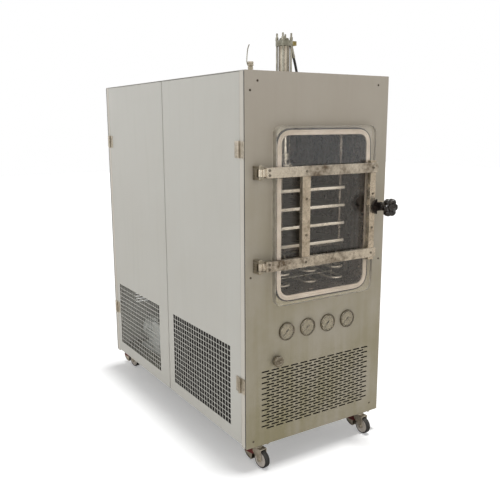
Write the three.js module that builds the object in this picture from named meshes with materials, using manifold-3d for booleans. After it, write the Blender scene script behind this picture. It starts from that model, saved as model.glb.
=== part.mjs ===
// Pilot-size freeze dryer on casters, with a stoppering press above its shelf chamber.
// Millimetres, +Z up. X runs across the front, Y runs from the front to the back.
// The origin is on the floor, under the middle of the whole machine's box.

import * as THREE from 'three';
import { mergeVertices } from 'three/addons/utils/BufferGeometryUtils.js';
import Module from 'manifold-3d';

const wasm = await Module();
wasm.setup();

// ---------------------------------------------------------------- driving dimensions

const CABINET_WIDTH = 700;
const CABINET_DEPTH = 1390;
const CABINET_HEIGHT = 1460;
const CASTER_HEIGHT = 100;
const SHEET = 2;
const GAP = 0.3;

const CHAMBER = { x0: 153, x1: 575, z0: 611, z1: 1229, depth: 580, wall: 5, corner: 30 };
const GASKET_WIDTH = 25;
const GASKET_THICKNESS = 5.4;
const MIDDLE_X = (CHAMBER.x0 + CHAMBER.x1) / 2;
const MIDDLE_Z = (CHAMBER.z0 + CHAMBER.z1) / 2;

const SHELF = { x0: 195, x1: 525, y0: 60, y1: 460, thickness: 14, pitch: 74, lowest: 790, count: 4 };
const ROD_INSET = 15;
const ROD_RADIUS = 8;

const DOOR = { x0: 118, x1: 613, z0: 575, z1: 1265, back: -6, front: -30, corner: 28 };
const BAR = { height: 39, offset: 175.5, back: -30.3, front: -50.3, left: 62, right: 612 };
const DOOR_PIN = { x: 45, y: -34, radius: 4 };

const LATCH = { x: 626, z: 936, studRadius: 7.4, holeRadius: 8.3, tip: -6 };
LATCH.bossRadius = 12;
LATCH.bossFront = -14;
const KNOB = { hubFront: -97, front: -121, hubRadius: 18, radius: 37.5, lobes: 6 };

const CYLINDER = { x: 360, y: 265, tubeRadius: 23.5, boreRadius: 20, head: 52, tieRod: 21 };
const GAUGES = { x: [192, 296, 401, 506], z: 460, radius: 37.5, hole: 33.5 };
const VALVE_KNOB = { x: 142, z: 348, radius: 23, hole: 5.5 };
const CASTER = { insetX: 76, insetY: 34, trail: 28, wheelRadius: 36, wheelWidth: 24 };
const INLET = { x: 560, z: 180, reach: 26, hole: 12.5 };

// The machine's foremost point is the star knob and its rearmost the power inlet.
const CENTRE_Y = (KNOB.front + CABINET_DEPTH + INLET.reach) / 2;

// ---------------------------------------------------------------- finishes

function finish(color, roughness, metalness) {
  return { color, roughness, metalness };
}

const FINISH = {
  frontPaint: finish(0x9b9380, 0.5, 0.0),
  sidePaint: finish(0xbcbbb4, 0.5, 0.0),
  stainless: finish(0xb4aea2, 0.35, 1.0),
  darkStainless: finish(0x6d6a64, 0.4, 1.0),
  zinc: finish(0xa9a89e, 0.45, 0.9),
  brass: finish(0xb09a6a, 0.4, 0.9),
  silicone: finish(0xd9d2c6, 0.6, 0.0),
  acrylic: finish(0xdfe6e6, 0.05, 0.0),
  blackPlastic: finish(0x1b1a19, 0.45, 0.0),
  blackRubber: finish(0x22211f, 0.8, 0.0),
  redPlastic: finish(0x4a1712, 0.5, 0.0),
  pumpPaint: finish(0xc9ccc8, 0.5, 0.1),
  darkPaint: finish(0x24282b, 0.5, 0.2),
  copper: finish(0xb06a44, 0.4, 0.9),
};

// ---------------------------------------------------------------- solids

// A closed geometry as a solid, with repeated corners merged and its faces turned outwards.
function solid(geometry) {
  const bare = geometry.clone();
  for (const name of Object.keys(bare.attributes)) {
    if (name !== 'position') bare.deleteAttribute(name);
  }
  const merged = mergeVertices(bare, 1e-3);
  const position = merged.attributes.position;
  const index = merged.index.array;
  const corner = (i) => new THREE.Vector3().fromBufferAttribute(position, i);
  const triangles = [];
  let volume = 0;
  for (let i = 0; i < index.length; i += 3) {
    const [a, b, c] = [index[i], index[i + 1], index[i + 2]];
    if (a === b || b === c || c === a) continue;
    triangles.push([a, b, c]);
    volume += corner(a).dot(corner(b).cross(corner(c)));
  }
  const turned = volume < 0 ? triangles.map(([a, b, c]) => [a, c, b]) : triangles;
  return new wasm.Manifold(new wasm.Mesh({
    numProp: 3,
    vertProperties: Float32Array.from(position.array),
    triVerts: Uint32Array.from(turned.flat()),
  }));
}

function geometryOf(manifold) {
  const mesh = manifold.getMesh();
  const geometry = new THREE.BufferGeometry();
  geometry.setAttribute('position', new THREE.BufferAttribute(mesh.vertProperties, 3));
  geometry.setIndex(new THREE.BufferAttribute(mesh.triVerts, 1));
  geometry.computeVertexNormals();
  return geometry;
}

function union(...solids) {
  return solids.reduce((whole, next) => whole.add(next));
}

function without(whole, ...cutters) {
  return cutters.reduce((left, cutter) => left.subtract(cutter), whole);
}

function box(x0, x1, y0, y1, z0, z1) {
  const geometry = new THREE.BoxGeometry(x1 - x0, y1 - y0, z1 - z0);
  geometry.translate((x0 + x1) / 2, (y0 + y1) / 2, (z0 + z1) / 2);
  return solid(geometry);
}

// A round bar along an axis. `centre` holds the two coordinates across that axis, in order.
function round(axis, radius, from, to, centre, sides = 16) {
  const geometry = new THREE.CylinderGeometry(radius, radius, to - from, sides);
  geometry.rotateY(Math.PI / sides);
  geometry.translate(0, (from + to) / 2, 0);
  if (axis === 'x') {
    geometry.rotateZ(-Math.PI / 2);
    geometry.translate(0, centre[0], centre[1]);
  }
  if (axis === 'y') geometry.translate(centre[0], 0, centre[1]);
  if (axis === 'z') {
    geometry.rotateX(Math.PI / 2);
    geometry.translate(centre[0], centre[1], 0);
  }
  return solid(geometry);
}

// A turned piece: [radius, station] points from the axis back to the axis, spun about Y or Z.
function turned(axis, profile, sides = 20) {
  const points = profile.map(([radius, station]) => new THREE.Vector2(radius, station));
  const geometry = new THREE.LatheGeometry(points, sides, Math.PI / sides);
  if (axis === 'z') geometry.rotateX(Math.PI / 2);
  return solid(geometry);
}

// An outline in X and Z, given thickness from y0 to y1.
function slab(shape, y0, y1, curveSegments = 4) {
  const options = { depth: y1 - y0, bevelEnabled: false, curveSegments };
  const geometry = new THREE.ExtrudeGeometry(shape, options);
  geometry.rotateX(Math.PI / 2);
  geometry.translate(0, y1, 0);
  return solid(geometry);
}

// A route that passes through every one of its stations, with one step between two of them.
class StationRoute extends THREE.Curve {
  constructor(points) {
    super();
    this.stations = points.map((point) => new THREE.Vector3(...point));
  }

  getPoint(t, target = new THREE.Vector3()) {
    const last = this.stations.length - 1;
    const whole = Math.min(Math.floor(t * last + 1e-9), last - 1);
    return target.lerpVectors(this.stations[whole], this.stations[whole + 1], t * last - whole);
  }

  getPointAt(u, target) {
    return this.getPoint(u, target);
  }

  // The direction at a station is the mean of the ways into and out of it.
  getTangentAt(u, target = new THREE.Vector3()) {
    const last = this.stations.length - 1;
    const i = Math.round(u * last);
    const before = this.stations[Math.max(i - 1, 0)];
    const after = this.stations[Math.min(i + 1, last)];
    const here = this.stations[i];
    target.set(0, 0, 0);
    if (i > 0) target.add(here.clone().sub(before).normalize());
    if (i < last) target.add(after.clone().sub(here).normalize());
    return target.normalize();
  }
}

// A round tube or bar along a route, given as its stations.
function swept(points, radius, sides) {
  const route = new StationRoute(points);
  const options = { steps: points.length - 1, extrudePath: route };
  const rim = [];
  for (let i = 0; i < sides; i += 1) {
    const angle = (2 * Math.PI * i) / sides;
    rim.push(new THREE.Vector2(radius * Math.cos(angle), radius * Math.sin(angle)));
  }
  return solid(new THREE.ExtrudeGeometry(new THREE.Shape(rim), options));
}

function roundedRectangle(x0, x1, z0, z1, radius) {
  const shape = new THREE.Shape();
  shape.moveTo(x0 + radius, z0);
  shape.lineTo(x1 - radius, z0);
  shape.absarc(x1 - radius, z0 + radius, radius, -Math.PI / 2, 0, false);
  shape.lineTo(x1, z1 - radius);
  shape.absarc(x1 - radius, z1 - radius, radius, 0, Math.PI / 2, false);
  shape.lineTo(x0 + radius, z1);
  shape.absarc(x0 + radius, z1 - radius, radius, Math.PI / 2, Math.PI, false);
  shape.lineTo(x0, z0 + radius);
  shape.absarc(x0 + radius, z0 + radius, radius, Math.PI, 1.5 * Math.PI, false);
  return shape;
}

// The chamber mouth's outline, grown outwards by `grow`.
function mouth(grow) {
  const { x0, x1, z0, z1, corner } = CHAMBER;
  return roundedRectangle(x0 - grow, x1 + grow, z0 - grow, z1 + grow, corner + grow);
}

// ---------------------------------------------------------------- scene graph helpers

const machine = new THREE.Group();
const cabinet = new THREE.Group();
cabinet.position.set(-CABINET_WIDTH / 2, -CENTRE_Y, CASTER_HEIGHT);
machine.add(cabinet);

function piece(name, shape, look, group = cabinet) {
  const material = new THREE.MeshStandardMaterial(look);
  const mesh = new THREE.Mesh(geometryOf(shape), material);
  mesh.name = name;
  group.add(mesh);
  return mesh;
}

// The four corners and sides repeat: `mirrored` turns a distance from the left side into
// one from the right side.
function mirrored(x0, x1) {
  return [CABINET_WIDTH - x1, CABINET_WIDTH - x0];
}

// ---------------------------------------------------------------- cabinet frame

const POST = 35;
const POST_SHEET = 4;
const RAIL = { inner: 48, outer: 18, height: 30 };
const MIDDLE_POST = 30;
const SEAT_RAIL_FRONTS = [60, 520];
const FRAME_TOP = CABINET_HEIGHT - SHEET - GAP;
const FRAME_FRONT = SHEET + GAP;
const FRAME_BACK = CABINET_DEPTH - SHEET - GAP;
const SEAM_Y = 692.5;
const CHAMBER_SEAT = CHAMBER.z0 - CHAMBER.wall - GAP;

const SIDE_HINGE = {
  z: [262, 1179],
  front: POST + 1,
  back: CABINET_DEPTH - POST - 1,
  pinX: -7,
  pinRadius: 2.5,
  knuckle: 5,
  height: 62,
  reach: 32,
  leaf: 3,
};

function frameBars() {
  const bars = [];
  const [rightInner, rightOuter] = mirrored(RAIL.outer, RAIL.inner);
  const top = [FRAME_TOP - RAIL.height, FRAME_TOP];
  for (const [y0, y1, faceY0, faceY1] of [
    [FRAME_FRONT, POST, FRAME_FRONT, FRAME_FRONT + POST_SHEET],
    [CABINET_DEPTH - POST, FRAME_BACK, FRAME_BACK - POST_SHEET, FRAME_BACK],
  ]) {
    // Corner posts: an angle with one leg on the side and one behind the end panel.
    bars.push(box(0, POST_SHEET, y0, y1, 0, FRAME_TOP));
    bars.push(box(0, POST, faceY0, faceY1, 0, FRAME_TOP));
    bars.push(box(...mirrored(0, POST_SHEET), y0, y1, 0, FRAME_TOP));
    bars.push(box(...mirrored(0, POST), faceY0, faceY1, 0, FRAME_TOP));
  }
  for (const [z0, z1] of [[0, RAIL.height], top]) {
    bars.push(box(RAIL.outer, RAIL.inner, FRAME_FRONT, FRAME_BACK, z0, z1));
    bars.push(box(rightInner, rightOuter, FRAME_FRONT, FRAME_BACK, z0, z1));
    bars.push(box(RAIL.outer, rightOuter, FRAME_FRONT, POST, z0, z1));
    bars.push(box(RAIL.outer, rightOuter, CABINET_DEPTH - POST, FRAME_BACK, z0, z1));
  }
  // Middle posts behind the seam between the side doors, and the rails under the chamber.
  const seat = [CHAMBER_SEAT - RAIL.height, CHAMBER_SEAT];
  for (const [x0, x1] of [[RAIL.outer, RAIL.inner], [rightInner, rightOuter]]) {
    bars.push(box(x0, x1, SEAM_Y - MIDDLE_POST / 2, SEAM_Y + MIDDLE_POST / 2, 0, FRAME_TOP));
    bars.push(box(x0, x1, FRAME_FRONT, SEAM_Y, ...seat));
  }
  for (const y of SEAT_RAIL_FRONTS) {
    bars.push(box(RAIL.outer, rightOuter, y, y + RAIL.height, ...seat));
  }
  return bars;
}

// Outward direction of a side: -1 for the left of the cabinet, +1 for the right.
function sideX(side, depth) {
  return side < 0 ? depth : CABINET_WIDTH - depth;
}

function sideBox(side, depth0, depth1, y0, y1, z0, z1) {
  const [a, b] = [sideX(side, depth0), sideX(side, depth1)];
  return box(Math.min(a, b), Math.max(a, b), y0, y1, z0, z1);
}

// The post's half of a side hinge: a leaf, two knuckles and the pin through all three.
function fixedHingeHalf(side, pinY, toward, z) {
  const { pinX, pinRadius, knuckle, height, reach, leaf } = SIDE_HINGE;
  const x = sideX(side, pinX);
  const near = pinY - toward * (knuckle + GAP);
  const far = pinY - toward * reach;
  const half = height / 2;
  const third = height / 6;
  const parts = [
    sideBox(side, -leaf, 0, Math.min(near, far), Math.max(near, far), z - half, z + half),
    round('z', pinRadius, z - half + 1, z + half - 1, [x, pinY], 8),
  ];
  for (const [z0, z1] of [[z - half, z - third - GAP], [z + third + GAP, z + half]]) {
    parts.push(round('z', knuckle, z0, z1, [x, pinY], 8));
    const bridge = [Math.min(near, pinY), Math.max(near, pinY)];
    parts.push(sideBox(side, -leaf - 1, -leaf + 1, ...bridge, z0, z1));
  }
  return union(...parts);
}

// The door's half: a leaf and the middle knuckle, bored for the pin.
function doorHingeHalf(side, pinY, toward, z) {
  const { pinX, pinRadius, knuckle, height, reach, leaf } = SIDE_HINGE;
  const x = sideX(side, pinX);
  const near = pinY + toward * (knuckle + GAP);
  const far = pinY + toward * reach;
  const half = height / 2;
  const third = height / 6;
  const bridge = [Math.min(near, pinY), Math.max(near, pinY)];
  const body = union(
    sideBox(side, -leaf, 0, Math.min(near, far), Math.max(near, far), z - half, z + half),
    round('z', knuckle, z - third, z + third, [x, pinY], 8),
    sideBox(side, -leaf - 1, -leaf + 1, ...bridge, z - third, z + third),
  );
  return body.subtract(round('z', pinRadius + GAP, z - height, z + height, [x, pinY], 8));
}

const SIDES = [
  { name: 'left_front', side: -1, pinY: SIDE_HINGE.front, toward: 1 },
  { name: 'left_rear', side: -1, pinY: SIDE_HINGE.back, toward: -1 },
  { name: 'right_front', side: 1, pinY: SIDE_HINGE.front, toward: 1 },
  { name: 'right_rear', side: 1, pinY: SIDE_HINGE.back, toward: -1 },
];

// Each caster trails its wheel along its heading, in degrees from +X.
const [CASTER_LEFT, CASTER_RIGHT] = [CASTER.insetX, CABINET_WIDTH - CASTER.insetX];
const [CASTER_FRONT, CASTER_REAR] = [CASTER.insetY, CABINET_DEPTH - CASTER.insetY];
const CASTER_CENTRES = [
  { name: 'front_left', x: CASTER_LEFT, y: CASTER_FRONT, heading: -82 },
  { name: 'front_right', x: CASTER_RIGHT, y: CASTER_FRONT, heading: -86 },
  { name: 'rear_left', x: CASTER_LEFT, y: CASTER_REAR, heading: -80 },
  { name: 'rear_right', x: CASTER_RIGHT, y: CASTER_REAR, heading: -45 },
];
const CASTER_PLATE = { halfX: 42, halfY: 30, bottom: -4 };
const SWIVEL_HEAD = { radius: 21, bottom: -12 };

function casterPlates() {
  const { halfX, halfY, bottom } = CASTER_PLATE;
  const plates = [];
  for (const { x, y } of CASTER_CENTRES) {
    plates.push(box(x - halfX, x + halfX, y - halfY, y + halfY, bottom, 1));
    plates.push(round('z', SWIVEL_HEAD.radius, SWIVEL_HEAD.bottom, bottom + 1, [x, y], 12));
  }
  return plates;
}

function cabinetFrame() {
  const hinges = [];
  for (const { side, pinY, toward } of SIDES) {
    for (const z of SIDE_HINGE.z) hinges.push(fixedHingeHalf(side, pinY, toward, z));
  }
  return union(...frameBars(), ...hinges, ...casterPlates());
}

piece('cabinet_frame', cabinetFrame(), FINISH.sidePaint);

// ---------------------------------------------------------------- fixed panels

// The vent's rows of slots are pressed into the lower part of the front panel.
const FRONT_VENT = { x0: 75, x1: 631, z0: 74, z1: 312, columns: 4, rows: 6, land: 14 };

// A field of equal openings cut through a panel, given as boxes that run between two planes.
function openings(field, makeBox) {
  const { columns, rows, land } = field;
  const width = (field.x1 - field.x0 + land) / columns;
  const height = (field.z1 - field.z0 + land) / rows;
  const cutters = [];
  for (let row = 0; row < rows; row += 1) {
    for (let column = 0; column < columns; column += 1) {
      const u = field.x0 + column * width;
      const v = field.z0 + row * height;
      cutters.push(makeBox(u, u + width - land, v, v + height - land));
    }
  }
  return cutters;
}

function frontPanel() {
  const boss = without(
    round('y', LATCH.bossRadius, LATCH.bossFront, SHEET, [LATCH.x, LATCH.z]),
    round('y', LATCH.holeRadius, LATCH.bossFront - 1, -SHEET, [LATCH.x, LATCH.z]),
  );
  const sheet = box(0, CABINET_WIDTH, 0, SHEET, 0, CABINET_HEIGHT);
  const cutters = [
    slab(mouth(GASKET_WIDTH + 2), -1, SHEET + 1),
    round('y', VALVE_KNOB.hole, -1, SHEET + 1, [VALVE_KNOB.x, VALVE_KNOB.z], 12),
    ...GAUGES.x.map((x) => round('y', GAUGES.hole, -1, SHEET + 1, [x, GAUGES.z], 16)),
    ...openings(FRONT_VENT, (u0, u1, v0, v1) => box(u0, u1, -1, SHEET + 1, v0, v1)),
  ];
  return union(without(sheet, ...cutters), boss);
}

const REAR_VENT = { x0: 120, x1: 580, z0: 260, z1: 420, columns: 2, rows: 5, land: 20 };

function rearPanel() {
  const [y0, y1] = [FRAME_BACK, CABINET_DEPTH + 1];
  return without(
    box(0, CABINET_WIDTH, CABINET_DEPTH - SHEET, CABINET_DEPTH, 0, CABINET_HEIGHT),
    round('y', INLET.hole, y0, y1, [INLET.x, INLET.z], 16),
    ...openings(REAR_VENT, (u0, u1, v0, v1) => box(u0, u1, y0, y1, v0, v1)),
  );
}

const VENT_VALVE = { x: 102, y: 120, hole: 7 };
const HOSE_HOLE = { x: 432, y: 266, radius: 12 };
const CYLINDER_HOLE = 42;

function topPanel() {
  const [z0, z1] = [CABINET_HEIGHT - SHEET, CABINET_HEIGHT];
  return without(
    box(0, CABINET_WIDTH, FRAME_FRONT, FRAME_BACK, z0, z1),
    round('z', CYLINDER_HOLE, z0 - 1, z1 + 1, [CYLINDER.x, CYLINDER.y], 20),
    round('z', HOSE_HOLE.radius, z0 - 1, z1 + 1, [HOSE_HOLE.x, HOSE_HOLE.y], 12),
    round('z', VENT_VALVE.hole, z0 - 1, z1 + 1, [VENT_VALVE.x, VENT_VALVE.y], 12),
  );
}

const PAN_INSET = 6;

// A flat tray on the bottom rails, notched round the two middle posts.
function floorPan() {
  const z = RAIL.height + GAP;
  const [rightInner, rightOuter] = mirrored(RAIL.outer, RAIL.inner);
  const notch = [SEAM_Y - MIDDLE_POST / 2 - 1, SEAM_Y + MIDDLE_POST / 2 + 1];
  const [y0, y1] = [FRAME_FRONT + PAN_INSET, FRAME_BACK - PAN_INSET];
  return without(
    box(RAIL.outer, rightOuter, y0, y1, z, z + SHEET),
    box(0, RAIL.inner + 1, ...notch, z - 1, z + SHEET + 1),
    box(rightInner - 1, CABINET_WIDTH, ...notch, z - 1, z + SHEET + 1),
  );
}

function powerInlet() {
  const inside = CABINET_DEPTH - 16;
  const face = CABINET_DEPTH + GAP;
  const end = CABINET_DEPTH + INLET.reach;
  const profile = [[0, inside], [12, inside], [12, face], [20, face], [20, face + 6], [14, face + 8]];
  const inlet = turned('y', [...profile, [14, end], [8, end], [8, face + 4], [0, face + 4]], 12);
  return inlet.translate([INLET.x, 0, INLET.z]);
}

piece('front_panel', frontPanel(), FINISH.frontPaint);
piece('rear_panel', rearPanel(), FINISH.sidePaint);
piece('top_panel', topPanel(), FINISH.sidePaint);
piece('floor_pan', floorPan(), FINISH.sidePaint);
piece('power_inlet', powerInlet(), FINISH.blackPlastic);

// ---------------------------------------------------------------- side doors

// Each side is closed by two folded trays, hung at the cabinet's corners and meeting at a seam.
const SIDE_DOOR = { lip: 16, skin: 1.5, bottom: 8, top: CABINET_HEIGHT - SHEET - 1, seam: 3 };
const SIDE_VENTS = {
  left_front: { x0: 118, x1: 640, z0: 62, z1: 402 },
  left_rear: { x0: 790, x1: 1315, z0: 68, z1: 404 },
};
SIDE_VENTS.right_front = SIDE_VENTS.left_front;
SIDE_VENTS.right_rear = SIDE_VENTS.left_rear;

function sideDoor({ name, side, pinY, toward }) {
  const { lip, skin, bottom, top, seam } = SIDE_DOOR;
  const front = toward > 0;
  const y0 = front ? POST + GAP : SEAM_Y + seam;
  const y1 = front ? SEAM_Y - seam : CABINET_DEPTH - POST - GAP;
  const tray = without(
    sideBox(side, 0, lip, y0, y1, bottom, top),
    sideBox(side, skin, lip + 1, y0 + skin, y1 - skin, bottom + skin, top - skin),
  );
  const field = { ...SIDE_VENTS[name], columns: 4, rows: 3, land: 20 };
  const cutters = openings(field, (u0, u1, v0, v1) => sideBox(side, -1, skin + 1, u0, u1, v0, v1));
  const hinges = SIDE_HINGE.z.map((z) => doorHingeHalf(side, pinY, toward, z));
  return union(without(tray, ...cutters), ...hinges);
}

for (const place of SIDES) piece(`side_door_${place.name}`, sideDoor(place), FINISH.sidePaint);

// ---------------------------------------------------------------- vacuum chamber

const FLANGE = 6;
const RAM_RADIUS = 10;
const VACUUM_PORT = { x: MIDDLE_X, z: 900, radius: 24 };

const COIL = { levels: [628, 674], hairpins: [226, 365, 504], bend: 30, tube: 5 };
COIL.front = 96;
COIL.back = 500;
COIL.tail = CHAMBER.depth + 40;

function coilHole(z) {
  const centre = [COIL.hairpins[0] - COIL.bend, z];
  return round('y', COIL.tube + 1, CHAMBER.depth - 1, CHAMBER.depth + CHAMBER.wall + 1, centre, 8);
}

function chamberShell() {
  const { x0, x1, z0, z1, depth, wall } = CHAMBER;
  const outer = box(x0 - wall, x1 + wall, FLANGE, depth + wall, z0 - wall, z1 + wall);
  const flange = slab(mouth(GASKET_WIDTH + 1.5), 0, FLANGE + 1);
  return without(
    union(outer, flange),
    slab(mouth(0), -1, depth),
    round('z', RAM_RADIUS + 1, z1 - 1, z1 + wall + 1, [CYLINDER.x, CYLINDER.y]),
    round('y', VACUUM_PORT.radius, depth - 1, depth + wall + 1, [VACUUM_PORT.x, VACUUM_PORT.z]),
    ...COIL.levels.map((z) => coilHole(z)),
  );
}

function doorGasket() {
  const shape = mouth(GASKET_WIDTH);
  const inner = slab(mouth(0), -GASKET_THICKNESS - 2, 1);
  return slab(shape, -GASKET_THICKNESS - GAP, -GAP).subtract(inner);
}

// Half a turn of tube from x0 to x1, bulging forwards (-1) or backwards (+1) from y.
function returnBend(x0, x1, y, z, bulge) {
  const route = [];
  for (let step = 0; step <= 4; step += 1) {
    const angle = (Math.PI * step) / 4;
    const x = (x0 + x1) / 2 - ((x1 - x0) / 2) * Math.cos(angle);
    route.push([x, y + bulge * COIL.bend * Math.sin(angle), z]);
  }
  return route;
}

// Two layers of hairpin tubing across the chamber floor catch the vapour as ice. The layers
// join at the right rear, and each one's other end leaves through the chamber's back.
function coldTrapCoil() {
  const { levels, hairpins, bend, front, back, tail, tube } = COIL;
  const layers = levels.map((z) => {
    const route = [[hairpins[0] - bend, tail, z]];
    hairpins.forEach((x, i) => {
      const next = hairpins[i + 1];
      route.push(...returnBend(x - bend, x + bend, front, z, -1));
      if (next) route.push(...returnBend(x + bend, next - bend, back, z, 1));
    });
    return swept([...route, [hairpins[2] + bend, back, z]], tube, 6);
  });
  const last = hairpins[2] + bend;
  const header = box(last - 7, last + 7, back - 2, back + 12, levels[0] - 7, levels[1] + 7);
  return union(...layers, header);
}

piece('chamber_shell', chamberShell(), FINISH.darkStainless);
piece('door_gasket', doorGasket(), FINISH.silicone);
piece('cold_trap_coil', coldTrapCoil(), FINISH.stainless);

// ---------------------------------------------------------------- shelves and press

const ROD_PLACES = [];
for (const x of [SHELF.x0 + ROD_INSET, SHELF.x1 - ROD_INSET]) {
  for (const y of [SHELF.y0 + ROD_INSET + 5, SHELF.y1 - ROD_INSET - 5]) ROD_PLACES.push([x, y]);
}

// Four guide rods hang from the chamber's ceiling and carry the crossbars under the lowest shelf.
function shelfRack() {
  const top = SHELF.lowest - SHELF.thickness / 2 - GAP;
  const bottom = top - 10;
  const rods = [];
  for (const place of ROD_PLACES) {
    rods.push(round('z', ROD_RADIUS, bottom + 1, CHAMBER.z1 - GAP, place, 8));
  }
  const reach = [CHAMBER.x0 + GAP, CHAMBER.x1 - GAP];
  const [front, rear] = [ROD_PLACES[0][1], ROD_PLACES[1][1]];
  const [left, right] = [ROD_PLACES[0][0], ROD_PLACES[2][0]];
  const crossbars = [front, rear].map((y) => box(...reach, y - 12, y + 12, bottom, top));
  const runners = [left, right].map((x) => box(x - 9, x + 9, front, rear, bottom, top));
  return union(...rods, ...crossbars, ...runners);
}

// A hollow plate in the real machine; fluid enters and leaves by two nozzles on its right edge.
function shelfPlate(z, thickness, nozzles) {
  const half = thickness / 2;
  const plate = box(SHELF.x0, SHELF.x1, SHELF.y0, SHELF.y1, z - half, z + half);
  const bore = (place) => round('z', ROD_RADIUS + 1, z - half - 1, z + half + 1, place, 8);
  const stubs = nozzles.map((y) => round('x', 5, SHELF.x1 - 2, SHELF.x1 + 20, [y, z], 8));
  return union(without(plate, ...ROD_PLACES.map(bore)), ...stubs);
}

const PRESS_PLATE = { z: SHELF.lowest + SHELF.count * SHELF.pitch, thickness: 16 };
const TUBE_TOP = CABINET_HEIGHT + 125;

function pressRam() {
  const foot = PRESS_PLATE.z + PRESS_PLATE.thickness / 2 + GAP;
  const piston = TUBE_TOP - 30;
  return turned('z', [
    [0, foot], [34, foot], [34, foot + 8], [12, foot + 8], [12, foot + 26], [18, foot + 26],
    [18, foot + 54], [RAM_RADIUS, foot + 54], [RAM_RADIUS, piston],
    [CYLINDER.boreRadius - 0.5, piston], [CYLINDER.boreRadius - 0.5, piston + 20], [0, piston + 20],
  ], 16).translate([CYLINDER.x, CYLINDER.y, 0]);
}

piece('shelf_rack', shelfRack(), FINISH.stainless);
piece('press_plate', shelfPlate(PRESS_PLATE.z, PRESS_PLATE.thickness, []), FINISH.stainless);
for (let n = 1; n <= SHELF.count; n += 1) {
  const z = SHELF.lowest + (SHELF.count - n) * SHELF.pitch;
  piece(`shelf_${n}`, shelfPlate(z, SHELF.thickness, [150, 300]), FINISH.stainless);
}
piece('press_ram', pressRam(), FINISH.stainless);

// ---------------------------------------------------------------- press cylinder and its fluid

const CYLINDER_BASE = CHAMBER.z1 + CHAMBER.wall + GAP;
const BASE_HEAD = 28;

function headBlock(z0, z1) {
  const half = CYLINDER.head / 2;
  const { x, y } = CYLINDER;
  return box(x - half, x + half, y - half, y + half, z0, z1);
}

function cylinderBaseHead() {
  const centre = [CYLINDER.x, CYLINDER.y];
  const [z0, z1] = [CYLINDER_BASE, CYLINDER_BASE + BASE_HEAD];
  return headBlock(z0, z1).subtract(round('z', RAM_RADIUS + 0.4, z0 - 1, z1 + 1, centre));
}

function cylinderTube() {
  const centre = [CYLINDER.x, CYLINDER.y];
  const z0 = CYLINDER_BASE + BASE_HEAD + GAP;
  const tube = round('z', CYLINDER.tubeRadius, z0, TUBE_TOP - GAP, centre, 20);
  return tube.subtract(round('z', CYLINDER.boreRadius, z0 - 1, TUBE_TOP + 1, centre, 20));
}

// The upper head, drawn down on the tube by four tie rods with a nut on each.
function cylinderTopHead() {
  const top = TUBE_TOP + 22;
  const parts = [
    headBlock(TUBE_TOP, top),
    round('z', 20, top - 1, top + 10, [CYLINDER.x, CYLINDER.y], 12),
  ];
  for (const dx of [-CYLINDER.tieRod, CYLINDER.tieRod]) {
    for (const dy of [-CYLINDER.tieRod, CYLINDER.tieRod]) {
      const place = [CYLINDER.x + dx, CYLINDER.y + dy];
      parts.push(round('z', 4, CYLINDER_BASE + BASE_HEAD + GAP, top + 29, place, 6));
      parts.push(round('z', 7, top - 1, top + 8, place, 6));
    }
  }
  return union(...parts);
}

// The hose runs from the slanted sleeve at the upper head down through the top panel.
const HOSE = { radius: 5.5, start: [411, 266, 1540] };
HOSE.route = [
  HOSE.start, [415.5, 266, 1525], [420, 266, 1510], [424, 266, 1495], [427.5, 266, 1480],
  [430.5, 266, 1465], [433, 266, 1450], [435, 266, 1435], [436.3, 266, 1420], [437, 266, 1407],
  [437, 266, 1398],
];
const PORT_BLOCK = { width: 20, y0: 240, y1: 274, z0: TUBE_TOP + 2, z1: TUBE_TOP + 20 };
const SLEEVE = { radius: 7, length: 54 };

// A block on the upper head's side, and the slanted sleeve that is crimped on the hose's end.
function portFitting() {
  const side = CYLINDER.x + CYLINDER.head / 2 + GAP;
  const { width, y0, y1, z0, z1 } = PORT_BLOCK;
  const down = new THREE.Vector3(4.5, 0, -15).normalize();
  const end = new THREE.Vector3(...HOSE.start).addScaledVector(down, -GAP);
  const start = end.clone().addScaledVector(down, -SLEEVE.length);
  const sleeve = swept([start.toArray(), end.toArray()], SLEEVE.radius, 10);
  return union(box(side, side + width, y0, y1, z0, z1), sleeve);
}

const TANK = { x0: 415, x1: 555, y0: 235, y1: 465, height: 90 };
const UNIT_MOTOR = { x: 505, radius: 34, y0: 305, y1: 455, rise: 112 };
const UNIT_PORT = { radius: 9, top: 1375, neck: 6 };

// The hydraulic set behind the cylinder: a tank with a motor on it and the hose's port.
function hydraulicUnit() {
  const { x0, x1, y0, y1, height } = TANK;
  const foot = CYLINDER_BASE;
  const motor = UNIT_MOTOR;
  const [portX, portY, hoseEnd] = HOSE.route[HOSE.route.length - 1];
  return union(
    box(x0, x1, y0, y1, foot, foot + height),
    round('y', motor.radius, motor.y0, motor.y1, [motor.x, foot + motor.rise], 12),
    round('z', UNIT_PORT.radius, foot + height - 1, UNIT_PORT.top, [portX, portY], 10),
    round('z', UNIT_PORT.neck, UNIT_PORT.top - 1, hoseEnd - GAP, [portX, portY], 8),
  );
}

// A small release valve on the roof, with a thin bent tube beside it.
function ventValve() {
  const base = CABINET_HEIGHT - 30;
  const roof = CABINET_HEIGHT + GAP;
  return turned('z', [
    [0, base], [6, base], [6, roof], [12.5, roof], [12.5, roof + 8], [10, roof + 9], [10, roof + 24],
    [12, roof + 25], [12, roof + 41], [0, roof + 41],
  ], 12).translate([VENT_VALVE.x, VENT_VALVE.y, 0]);
}

function ventTube() {
  const y = VENT_VALVE.y;
  return swept([
    [87.6, y, 1495], [86.2, y, 1499], [86, y, 1507], [88, y, 1530], [91, y, 1548], [97, y, 1562],
  ], 2, 6);
}

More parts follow.
